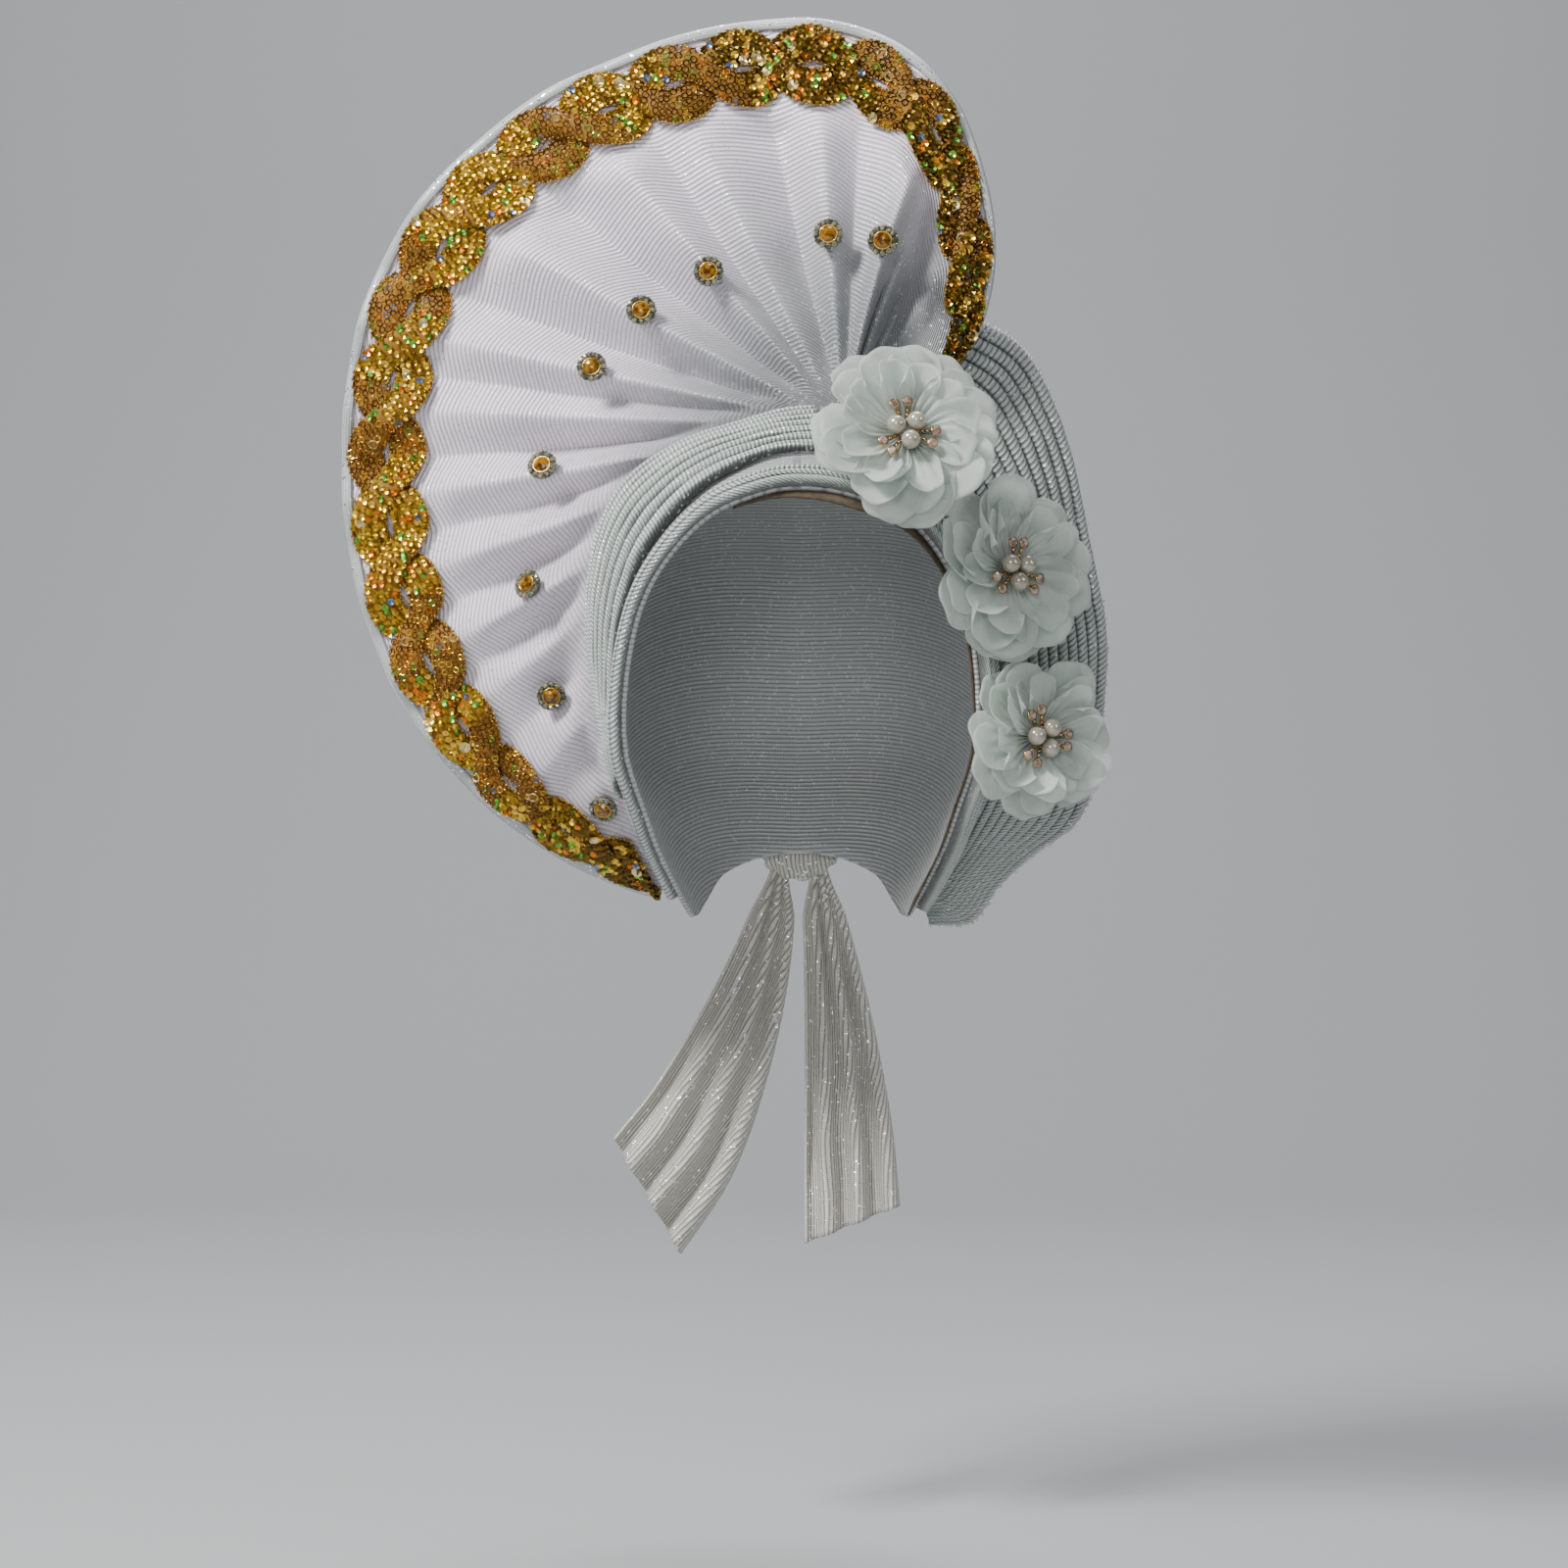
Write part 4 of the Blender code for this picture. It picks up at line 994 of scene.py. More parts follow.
def make_band():
    """The band: one roll at its left, three stacked rolls at its right."""
    turns = even_steps(edge_point, BAND_START_TURN, BAND_END_TURN, BAND_COLUMNS)
    grid = []
    for k in range(BAND_LINES + 1):
        t = k / BAND_LINES
        three = abs(math.sin(math.pi * BAND_ROLLS * t)) ** 0.5
        one = math.sin(math.pi * t) ** 0.5
        row = []
        for turn in turns:
            right = ease((turn - ROLLS_START_TURN) / ROLLS_TURN_SPAN)
            side = ease(abs(turn) / BAND_SIDE_TURN)
            roll = one * BAND_FULLER + (three - one * BAND_FULLER) * right
            height = BAND_HEIGHT * roll * BAND_FULLER if 0 < k < BAND_LINES else -0.0002
            height *= 1 + BAND_SPREAD * t * side * right
            spot, outward = edge_frame(turn, BAND_WIDTH * t - BAND_LEAN * side * one)
            row.append(spot + outward * (SEAT_GAP + height))
        grid.append(row)
    grid = numbers(grid)
    # Painted shade: the band's cross lines are set to fall in the valleys between its rolls
    across = (np.linspace(0, BAND_ROLLS, BAND_LINES + 1)[:, None] - 0.25) * ROPE_SHADE_LINE
    slanted = lengths_along(grid, 1) + lengths_along(grid, 0) * 0.5
    uv = np.stack([np.broadcast_to(across, slanted.shape), slanted], -1)
    item = cloth("edge_band", grid, (0, -1, 0.2), BAND_CLOTH, band_painted_shade_look, "face_band", uv)


# Brown turned hem inside the opening, which tapers to its left end. Its near-black brown is partly
# its own colour and partly painted shade inside the opening
HEM_START_TURN = -22.0
HEM_TAPER_SPAN = 40.0
HEM_LEAST_SHARE = 0.15
HEM_COLUMNS = 120
HEM_LINES = 4
HEM_HEIGHT = 0.0035
HEM_DEPTH = 0.0012
HEM_LEAN = 0.0006


def make_brown_edge():
    """A narrow brown strip inside the edge of the opening, partly its own brown and partly painted
    shade.
    """
    turns = even_steps(edge_point, HEM_START_TURN, BAND_END_TURN, HEM_COLUMNS)
    grid = []
    for k in range(HEM_LINES + 1):
        out = CAP_WALL / 2 - HEM_DEPTH - HEM_LEAN * k / HEM_LINES
        row = []
        for t in turns:
            taper = ease((t - HEM_START_TURN) / HEM_TAPER_SPAN)
            height = HEM_HEIGHT * (HEM_LEAST_SHARE + (1 - HEM_LEAST_SHARE) * taper)
            row.append(cap_point(t, edge_level(t) + height * (1 - 2 * k / HEM_LINES), out))
        grid.append(row)
    grid = numbers(grid)
    item = cloth("brown_edge", grid, (0, -1, 0), BAND_CLOTH, brown_edge_shade_look)


make_band()
make_brown_edge()


# Fan: fineness, gain of its folds above and below a turn, and how far its base tucks in behind
# the gather
FAN_COLUMNS = 460
FAN_LINES = 54
FAN_CLOTH = 0.0011
FAN_FOLD_GAIN = 3.0
LOW_FOLD_GAIN = 1.8
LOW_FOLD_TURN = 135.0
LOW_FOLD_SPAN = 40.0
CRISP_SOFTNESS = 0.55
BRAID_CLEAR = 0.006
FAN_TUCK = 0.0042
TUCK_IN_TURN, TUCK_IN_SPAN = 92, 14
TUCK_OUT_TURN, TUCK_OUT_SPAN = 158, 8
DENT_DEPTH = 0.0014
DENTS_PER_METRE = 38
DENT_FADE = 0.02
RIB_BEND = 0.0035
RIB_BEND_FADE = 0.03

# Rolled strips at the right of the fan: turn at the studs' reach, lean toward the hub, half width in
# degrees, height, and the share of the fan's reach where they end
ROLLS = table(
    "turn lean half height ends",
    (76.5, 16.0, 2.1, 0.0100, 0.74),
    (70.5, 14.0, 1.8, 0.0060, 0.56),
    (64.0, 10.0, 1.7, 0.0035, 0.48),
)
ROLLS_REACH = 0.360
ROLL_FADE_IN = 0.012
ROLL_FADE_OUT = 0.3
ROLL_FADE_LEAD = 0.25


def roll_height(turn, radius):
    """How far the rolled strips stand out at a point of the fan."""
    base, _, rim = fan_radii(turn)
    reach = (radius - base) / (rim - base)
    total = 0.0
    for middle, lean, half, height, ends in zip(*ROLLS.values()):
        middle += lean * (ROLLS_REACH - radius / FAN_REACH)
        away = math.exp(-(((turn - middle) / half) ** 2))
        rise = height * away * ease((radius - base) / ROLL_FADE_IN)
        total += rise * (1 - ease((reach - ends + ROLL_FADE_LEAD) / ROLL_FADE_OUT))
    return total


def fan_spot(turn, radius):
    """A point of the fan's cloth: its form, with crisper folds and small dents."""
    base, zone, _ = fan_radii(turn)
    spot = fan_point(turn, radius)
    free = 1 - ease((radius - zone + BRAID_CLEAR) / (2 * BRAID_CLEAR))
    low = ease((turn - LOW_FOLD_TURN) / LOW_FOLD_SPAN)
    gain = FAN_FOLD_GAIN + (LOW_FOLD_GAIN - FAN_FOLD_GAIN) * low
    crisp = fold_height(turn, CRISP_SOFTNESS) * (1 + (gain - 1) * free)
    spot.y += fold_depth(turn, radius) * (fold_height(turn) - crisp) - roll_height(turn, radius)
    dent = noise.noise(Vector((spot.x * DENTS_PER_METRE, 3.1, spot.z * DENTS_PER_METRE)))
    spot.y += dent * DENT_DEPTH * ease((radius - base) / DENT_FADE) * free
    return spot


def fan_grid():
    """The fan's points, the second coordinate of its cloth and the turns of its columns."""
    turns = even_steps(rim_point, FAN_START, FAN_END, FAN_COLUMNS)
    grid, ribs = [], []
    for i in range(FAN_LINES + 1):
        row, line = [], []
        for t in turns:
            base, _, rim = fan_radii(t)
            tucked = ease((t - TUCK_IN_TURN) / TUCK_IN_SPAN)
            base -= FAN_TUCK * tucked * (1 - ease((t - TUCK_OUT_TURN) / TUCK_OUT_SPAN))
            radius = base + (rim - base) * (i / FAN_LINES)
            row.append(fan_spot(t, radius))
            bend = RIB_BEND * ease((radius - base) / RIB_BEND_FADE)
            line.append(rim - radius + bend * fold_height(t, CRISP_SOFTNESS))
        grid.append(row)
        ribs.append(line)
    return numbers(grid), np.array(ribs), turns


fan_points, fan_ribs, fan_turns = fan_grid()
fan_uv = np.stack([lengths_along(fan_points, 1), fan_ribs], -1)
fan_item = cloth("fan_cloth", fan_points, (0, -1, 0), FAN_CLOTH, fan_look, "fan", fan_uv)


# Edge of the fan outside the braid
EDGE_WIDTH = 0.0042
EDGE_CLOTH = 0.0009
EDGE_LINES = 5
EDGE_NORMAL_IN = 0.002
EDGE_LIFT = 0.0009
EDGE_CROWN = 0.0007
WIRE_RADIUS = 0.00045
WIRE_OUT = 0.0002


def make_fan_edge():
    """The smooth glittering edge outside the braid, and the thin wire sewn into it."""
    grid = []
    for share in np.linspace(0, 1, EDGE_LINES):
        row = []
        lift = EDGE_LIFT + EDGE_CROWN * math.sin(math.pi * share)
        for t in fan_turns:
            rim = fan_radii(t)[2]
            spot = fan_spot(t, rim - EDGE_WIDTH * (1 - share))
            row.append(spot + fan_normal(t, rim - EDGE_NORMAL_IN) * lift)
        grid.append(row)
    grid = numbers(grid)
    item = cloth("fan_edge", grid, (0, -1, 0), EDGE_CLOTH, edge_look)
    path = [fan_spot(t, fan_radii(t)[2] + WIRE_OUT) for t in fan_turns]
    tube("fan_wire", path, WIRE_RADIUS, wire_look, 6)


make_fan_edge()


# Sequin braid: two strands that sway across its width, as shares of half of it
LOBE_STATIONS = 16
BRAID_OUTWARD = 0.0022
STRAND_SWAY = 0.515
STRAND_HALF = 0.415
STRAND_FULLER = 0.12
STRAND_BEND = 0.75
STRAND_LIFT = 0.0012
STRAND_RISE = 0.0011
STRAND_CROWN = 0.0011
GAUZE_CLOTH = 0.0004
GAUZE_DROP = 0.0006
PICOT_LIFT = 0.0002
PICOT_STEP = 0.0019
PICOT_SIZE = 0.00085
PICOT_ZIGZAG = 0.035
PICOT_TINT = np.array([0.50, 0.30, 0.06])

# Sequins: pitch, lines across a strand, share of the strand that they keep to
SEQUIN_PITCH = 0.0028
SEQUIN_LINES = 5
SEQUIN_SPAN = 0.82
SEQUIN_TILT = 0.20
BIG_CHANCE = 0.012
BIG_SIZE = 1.5
BIG_TINT = (1.0, 0.82, 0.36)
RING = revolved([(0.66, 0.0), (0.83, 0.16), (1.0, 0.0)], 10)
CUP = revolved([(0.12, -0.10), (0.6, 0.12), (1.0, 0.30)], 8)
SEQUINS = table(
    "name shape size tint",
    ("ring", RING, 0.00142, (0.125, 0.050, 0.008)),
    ("cup", CUP, 0.00150, (0.36, 0.205, 0.008)),
)

# Chance of a sequin to shine in another hue, added up, and that hue
HUES = table(
    "chance hue",
    (0.06, (0.20, 0.55, 0.06)),
    (0.12, (0.90, 0.26, 0.01)),
    (0.135, (0.20, 0.28, 0.50)),
    (0.30, (1.0, 0.62, 0.06)),
)


def ease_all(t):
    """A soft step from 0 to 1 for a whole array."""
    t = np.clip(t, 0, 1)
    return t * t * (3 - 2 * t)


def braid_patch():
    """The strip of the fan's front that the braid lies on, read by its width and its length."""
    lobes = round(measure(rim_point, FAN_START, FAN_END)[1][-1] / BRAID_PITCH)
    turns = even_steps(rim_point, FAN_START, FAN_END, lobes * LOBE_STATIONS)
    rows = []
    for q in np.linspace(-1, 1, 13):
        row = []
        for k, t in enumerate(turns):
            base, zone, rim = fan_radii(t)
            past = (k / (len(turns) - 1) - BRAID_NARROWS_AT) / (1 - BRAID_NARROWS_AT)
            narrow = BRAID_START_SHARE + (1 - BRAID_START_SHARE) * ease(k / LOBE_STATIONS / 2)
            narrow *= 1 + (BRAID_END_SHARE - 1) * ease(past)
            full = min(BRAID_WIDTH * narrow, rim - base - 2 * BRAID_MARGIN)
            radius = rim - BRAID_MARGIN + BRAID_OUTWARD - full / 2 + q * full / 2
            lift = fan_normal(t, (zone + rim) / 2) * (FAN_WALL / 2 + SEAT_GAP)
            row.append(fan_spot(t, radius) + lift)
        rows.append(row)
    return Patch(numbers(rows), (0, -1, 0)), lobes


class Strand:
    """One strand of the braid, read by its length and its width."""

    def __init__(self, patch, lobes, side):
        self.patch = patch
        self.lobes = lobes
        self.side = side

    def across(self, s, t, zigzag=0.0, past=0.0):
        """Where the strand lies on the patch at shares of its length and width, and how high."""
        phase = math.pi * self.lobes * s
        wave = np.sin(phase)
        middle = self.side * STRAND_SWAY * np.sign(wave) * np.abs(wave) ** STRAND_BEND
        half = STRAND_HALF + STRAND_FULLER * (1 - np.abs(wave))
        height = STRAND_LIFT + STRAND_RISE * self.side * np.cos(phase) + STRAND_CROWN * (1 - t ** 2)
        a = (middle + half * (t + zigzag) + 1) / 2
        return np.clip(a, -past, 1 + past), height

    def places(self, a, height, s, step, lift=0.0):
        """Places on the strand, with frames that face out and look along it."""
        place = self.patch.at(a, s, height + lift)
        ahead = self.patch.at(a, np.clip(s + step, 0, 1), height)
        return place, frames_of(self.patch.normal(a, s), ahead - place)

    def gauze(self, name):
        """The strand's ground of gauze."""
        fine = np.linspace(0, 1, self.lobes * LOBE_STATIONS + 1)
        rows = []
        for t in np.linspace(-1, 1, 9):
            a, height = self.across(fine, t)
            rows.append(self.patch.at(a, fine, height - GAUZE_DROP))
        grid = np.array(rows)
        stands_for = "sequin_braid" if self.side > 0 else None
        item = cloth(name, grid, (0, -1, 0), GAUZE_CLOTH, gauze_look, stands_for)

    def sequins(self, line, count, rng):
        """One line of sequins: places, frames, shares of the length and which are cups."""
        t = SEQUIN_SPAN * (2 * line / (SEQUIN_LINES - 1) - 1)
        s = (np.arange(count) + 0.5 * (line % 2) + rng.normal(0, 0.10, count)) / count
        s = np.clip(s, 0.002, 0.998)
        a, height = self.across(s, t + rng.normal(0, 0.03, count))
        place, frames = self.places(a, height, s, 0.002)
        part = 0.5 if self.side > 0 else 0.0
        kind = np.floor(self.lobes * s + 0.5 + part).astype(int)
        packed = (kind * 7 + (3 if self.side > 0 else 0)) % 5 < 3
        return place, tilted(frames, rng, SEQUIN_TILT), s, packed

    def picots(self, edge, count, rng):
        """The beads of one edge cord: places, frames and tones."""
        s = np.linspace(0.001, 0.999, count)
        zigzag = 0.02 * edge + PICOT_ZIGZAG * np.where(np.arange(count) % 2, 1, -1)
        a, height = self.across(s, edge, zigzag, past=0.02)
        place, frames = self.places(a, height, s, 0.001, PICOT_LIFT)
        return place, frames, PICOT_TINT * rng.uniform(0.7, 1.15, (count, 1))


def sequin_tones(tint, s, rng):
    """The tones of sequins at shares of the braid's length, brightest where the light falls."""
    n = len(s)
    bright = ease_all((s - 0.30) / 0.12) * (1 - ease_all((s - 0.86) / 0.1))
    tone = np.array(tint) * (0.42 + 1.2 * bright[:, None]) * rng.uniform(0.6, 1.3, (n, 1))
    pick = rng.random(n)
    low = 0.0
    for high, hue in zip(HUES["chance"], HUES["hue"]):
        mask = (pick >= low) & (pick < high)
        tone[mask] = np.array(hue) * rng.uniform(0.85, 1.1, (mask.sum(), 1))
        low = high
    return tone * (1 - 0.3 * np.clip((0.10 - s) / 0.06, 0, 1))[:, None]


def make_braid():
    """The braid's gauze, its ring and cup sequins and its picot cords."""
    patch, lobes = braid_patch()
    rng = np.random.default_rng(7)
    span = lobes * BRAID_PITCH
    lines, cords = [], []
    for side, letter in ((1.0, "a"), (-1.0, "b")):
        strand = Strand(patch, lobes, side)
        strand.gauze(f"braid_gauze_{letter}")
        count = int(span * 1.15 / SEQUIN_PITCH)
        lines += [strand.sequins(line, count, rng) for line in range(SEQUIN_LINES)]
        count = int(span * 1.25 / PICOT_STEP)
        cords += [strand.picots(edge, count, rng) for edge in (-1.0, 1.0)]
    place, frames, s, packed = (np.concatenate(part) for part in zip(*lines))
    for name, shape, size, tint in zip(*SEQUINS.values()):
        mask = packed if name == "cup" else ~packed
        tone = sequin_tones(tint, s[mask], rng)
        big = rng.random(len(tone)) < BIG_CHANCE
        tone[big] = BIG_TINT
        sizes = size * rng.uniform(0.9, 1.08, len(tone)) * np.where(big, BIG_SIZE, 1.0)
        tone = np.clip(tone, 0, 1)
        piece = f"{name}_sequins"
        scatter(piece, shape, place[mask], frames[mask], sizes, sequin_look, tone, soft=False)
    place, frames, tone = (np.concatenate(part) for part in zip(*cords))
    cord_bead = bead(1.35, 0.62, 0.65)
    scatter("picot_cords", cord_bead, place, frames, PICOT_SIZE, cord_look, np.clip(tone, 0, 1))


make_braid()


# Nested folds at the upper left: fineness, and their depth against the plain ones
GATHER_COLUMNS = 150
GATHER_STEPS = 12
GATHER_GAIN = 2.0
GATHER_CLOTH = 0.0009
GATHER_SEAT = 0.0003
GATHER_WOBBLE = 0.0005


def make_nested_folds():
    """The rolled folds from the gather down the left of the opening."""
    fan_steps = even_steps(base_point, GATHER_FAN_START, GATHER_FAN_END, GATHER_COLUMNS)
    cap_steps = even_steps(edge_point, GATHER_CAP_START, GATHER_CAP_END, GATHER_COLUMNS)
    last = GATHER_FOLDS * GATHER_STEPS
    columns = []
    for s, (fan_turn, cap_turn) in enumerate(zip(fan_steps, cap_steps)):
        off = GATHER_LIFT * (1 - ease(s / GATHER_COLUMNS / GATHER_LIFT_ENDS))
        foot, outward = edge_frame(cap_turn, BAND_WIDTH + GATHER_GAP + off)
        start = foot + outward * SEAT_GAP
        tangent = (base_point(fan_turn + 1) - base_point(fan_turn - 1)).normalized()
        end = base_point(fan_turn)
        aside = start - end
        aside -= tangent * aside.dot(tangent)
        end += aside.normalized() * GATHER_EDGE_GAP
        width = (end - start).length
        depth = min(GATHER_FOLD_DEPTH * GATHER_GAIN, 1.05 * width / GATHER_FOLDS)
        column = []
        for k in range(last + 1):
            t = k / last
            part = (t * GATHER_FOLDS) % 1.0 if k < last else 1.0
            tuck = max(math.sin(math.pi * min(part ** 0.8, 1.0)), 0.0) ** 0.5
            bulge = math.sin(math.pi * t) * width * GATHER_BULGE
            wobble = GATHER_WOBBLE * noise.noise(Vector((s * 0.09, k * 0.3, 2.0)))
            out = bulge + depth * tuck + GATHER_WALL / 2 + GATHER_SEAT + wobble
            column.append(start.lerp(end, t) + outward * out)
        columns.append(column)
    grid = numbers(columns).swapaxes(0, 1)
    # Painted shade: the cross lines are set to fall in the valleys between the folds
    across = (np.linspace(0, GATHER_FOLDS, last + 1)[:, None] - 0.25) * ROPE_SHADE_LINE
    along = lengths_along(grid, 1)
    uv = np.stack([np.broadcast_to(across, along.shape), along], -1)
    toward = (-1, -0.6, 0.1)
    item = cloth("nested_folds", grid, toward, GATHER_CLOTH, gather_painted_shade_look, "side_gathers", uv)


make_nested_folds()


# Wing: fineness, depth of its pleats against the plain ones, and the rib ends along its edge
WING_LINES = 190
PLEAT_STEPS = 9
PLEAT_GAIN = 1.4
WING_CLOTH = 0.0009
WING_SEAT = 0.0004
WING_DROOP = 0.0007
TOOTH_PITCH = 0.0017
TOOTH_SIZE = 0.0021
TOOTH_TINT = np.array([0.74, 0.76, 0.79])


def wing_grid():
    """The points of the wing, from the bonnet to its outer edge."""
    last = len(WING["turn"]) - 1
    rows = list(range(last + 1))
    columns = WING_PLEATS * PLEAT_STEPS
    grid = []
    for s in range(WING_LINES + 1):
        v = last * s / WING_LINES
        turn, drop, reach, fall, back = (smooth(rows, WING[name], v) for name in WING)
        spare = 2 * WING_WALL * ease((turn - WING_ROOM_TURN) / WING_ROOM_SPAN)
        start = cap_point(turn, -CAP_DROP * drop, CAP_WALL + SEAT_GAP + spare)
        behind = WING_FRONT + WING_SWEEP * back
        end = Vector((WING_SPREAD * reach, behind, WING_TOP - WING_LENGTH * fall))
        line = end - start
        out = line.cross(Vector((0.0, 0.2, -1.0))).normalized()
        out = out if out.y < 0 else -out
        depth = min(WING_PLEAT_DEPTH * PLEAT_GAIN, 0.75 * line.length / WING_PLEATS)
        row = []
        for k in range(columns + 1):
            t = k / columns
            wave = abs(math.sin(math.pi * WING_PLEATS * t)) ** 0.6
            droop = WING_DROOP * noise.noise(Vector((v * 2.2, t * 7.0, 5.0)))
            lift = WING_WALL / 2 + WING_SEAT + depth * wave + droop
            row.append(start.lerp(end, t) + out * lift)
        grid.append(row)
    return numbers(grid)


def make_wing_teeth(grid):
    """The short ends of the ribs, which stand out along the wing's outer edge."""
    edge = grid[:, -1]
    walked = lengths_along(edge[None], 1)[0]
    count = int(walked[-1] / TOOTH_PITCH)
    rng = np.random.default_rng(11)
    targets = (np.arange(count) + 0.5) / count * walked[-1]
    index = np.clip(np.searchsorted(walked, targets), 1, len(edge) - 1)
    outward = unit(edge[index] - grid[index, 1 - PLEAT_STEPS])
    along = unit(edge[index] - edge[index - 1])
    frames = np.stack([outward, along, unit(np.cross(along, outward))], -1)
    frames = tilted(frames, rng, 0.15)
    foot = [(-0.6, y, z) for y, z in ((-0.32, 0.2), (0.32, 0.2), (0.32, -0.2), (-0.32, -0.2))]
    tip = [(1.0, y, z) for y, z in ((-0.22, 0.05), (0.22, 0.05), (0.22, -0.1), (-0.22, -0.1))]
    faces = [(j, (j + 1) % 4, (j + 1) % 4 + 4, j + 4) for j in range(4)]
    tooth = (foot + tip, faces + [(4, 5, 6, 7), (3, 2, 1, 0)])
    tones = np.clip(TOOTH_TINT * rng.uniform(0.8, 1.1, (count, 1)), 0, 1)
    sizes = TOOTH_SIZE * rng.uniform(0.7, 1.2, count)
    scatter("wing_teeth", tooth, edge[index], frames, sizes, rib_end_look, tones)


def make_wing():
    """The pleated wing."""
    grid = wing_grid()
    walked = lengths_along(grid, 0)
    # Painted shade: the wing's rib lines are set to fall in the valleys of its pleats
    folds = (np.linspace(0, WING_PLEATS, grid.shape[1])[None] - 0.25) * WING_SHADE_LINE
    uv = np.stack([walked, np.broadcast_to(folds, walked.shape)], -1)
    toward = (0.3, -1, 0)
    item = cloth("wing_cloth", grid, toward, WING_CLOTH, wing_painted_shade_look, "pleated_wing", uv)
    make_wing_teeth(grid)


make_wing()


# Petal layers: count, reach as a share of the flower's radius, rise, floor, first turn in radians
# and seed of the first flower. The last layer is the inner one.
PETAL_STEP = PETAL_THICKNESS + LAYER_GAP
PETAL_LAYERS = table(
    "count reach rise floor turned seed",
    (9, 1.09, OUTER_PETAL_RISE, 0.0002, 0.0, 20),
    (10, 1.0, OUTER_PETAL_RISE + 0.003, 0.0013, 0.35, 30),
    (12, 1.06 * INNER_LAYER_SHARE, INNER_PETAL_RISE, PETAL_STEP + 0.0006, 0.1, 40),
)
PETAL_LINES = 16
PETAL_COLUMNS = 28
PETAL_OVERLAP = 1.75
PETAL_HEEL = 0.08
LEAF_WALL = 0.00022

# Spray and pearls: turn of a fork's arms in radians, heights over the petals, sizes and tints
FORK_TURN = 0.24
SPRAY_LIFT = 0.0016
ARM_RISE = 0.0022
CRYSTAL_LIFT = 0.0034
COLLAR_LIFT = 0.0004
ARM_BEADS = (0.0015, 0.0015, 0.0015, 0.0012)
SMALL_CRYSTAL = 0.0019
COLLAR_SIZE = 0.0024
PEARL_SCALE = 1.01
ARM_TINT = (0.60, 0.38, 0.15)
CRYSTAL_CUP_TINT = (0.60, 0.39, 0.18)
COLLAR_TINT = (0.55, 0.36, 0.14)
SMALL_GEM = revolved([(0.02, -0.5), (1.0, 0.0), (0.62, 0.42), (0.02, 0.46)], 8)
CRYSTAL_CUP = revolved([(0.5, -0.75), (1.12, -0.35), (1.16, 0.0), (0.98, 0.10)], 8)
COLLAR = revolved([(0.9, -0.2), (1.05, 0.05), (0.9, 0.3), (0.7, 0.35)], 16)
BALL = revolved([(math.sin(a), -math.cos(a)) for a in np.linspace(0.001, math.pi - 0.001, 19)], 32)


def node_points(name):
    """The points of one of the CAD's nodes."""
    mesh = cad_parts[name].data
    points = np.empty(len(mesh.vertices) * 3, dtype=np.float32)
    mesh.vertices.foreach_get("co", points)
    return points.reshape(-1, 3).astype(float)


def petal_layer(place, count, radius, rise, floor, turned, seed):
    """One layer of separate broad petals, pleated toward the flower's centre."""
    rng = np.random.default_rng(seed)
    half = math.pi / count * PETAL_OVERLAP
    petals = []
    for n in range(count):
        middle = 2 * math.pi * n / count + turned + rng.normal(0, 0.07)
        reach = radius * rng.uniform(0.92, 1.02)
        lift = rise * rng.uniform(0.75, 1.2)
        curl = rng.uniform(-0.0015, 0.003)
        twist = rng.normal(0, 0.12)
        grid = []
        for v in np.linspace(PETAL_HEEL, 1, PETAL_LINES + 1):
            row = []
            for u in np.linspace(-1, 1, PETAL_COLUMNS + 1):
                tip = 1 - 0.33 * abs(u) ** 3.0 * v ** 2 + 0.012 * math.sin(u * 9.0 + n) * v ** 6
                r = reach * v * tip
                widening = 0.80 + 0.20 * math.sin(math.pi * v)
                angle = middle + u * half * widening + twist * v * v
                heel = (1.0 - ease(v * 1.05)) * min(1.0, v * 4)
                height = floor + lift * v ** 1.7 - curl * v ** 4 + 0.0030 * u * v
                height += 0.0010 * math.cos(u * (13.0 + n % 3) + n) * heel
                height += 0.0008 * math.cos(u * 5.0 + 2 * n) * v * (1.0 - 0.5 * v)
                height += 0.0026 * math.sin(u * 2.6 + n * 1.7) * v ** 2.5
                row.append(place @ Vector((r * math.cos(angle), r * math.sin(angle), height)))
            grid.append(row)
        petals.append(numbers(grid))
    return petals


def flower_place(k):
    """Where a flower sits and how it is turned."""
    across, behind, above = (FLOWERS[name][k] for name in ("across", "behind", "above"))
    place = Vector((CAP_WIDTH * across, CAP_DEPTH * behind, CAP_DROP * above))
    swing = Matrix.Rotation(math.radians(FLOWERS["swing"][k]), 4, "Z")
    lift = Matrix.Rotation(math.radians(90 - FLOWERS["lift"][k]), 4, "X")
    roll = Matrix.Rotation(math.radians(FLOWERS["roll"][k]), 4, "Z")
    return Matrix.Translation(place) @ swing @ lift @ roll


def make_petals(k, name, place):
    """A flower's layers of petals, and the stem that they are gathered on."""
    radius = FLOWER_RADIUS * FLOWERS["radius"][k]
    away = place.to_3x3() @ Vector((0, 0, 1))
    layers = []
    for count, reach, rise, floor, turned, seed in zip(*PETAL_LAYERS.values()):
        layers.append(petal_layer(place, count, radius * reach, rise, floor, turned, seed + k))
    for part, petals in (("outer", layers[0] + layers[1]), ("inner", layers[2])):
        node = f"{name}_{part}_petals"
        item = cloth(f"{name}_{part}_leaves", petals, away, LEAF_WALL, petal_look, node)
    back = [place.inverted() @ Vector(tuple(p)) for p in node_points(f"{name}_outer_petals")]
    heel = place @ min(back, key=lambda p: p.z)
    line = [place.translation.lerp(heel, share) for share in np.linspace(0, 0.98, 9)]
    thick = radius * HEEL_SHARE * (1 - np.linspace(0, 0.93, 9))
    tube(f"{name}_stem", line, thick, petal_look, 14)


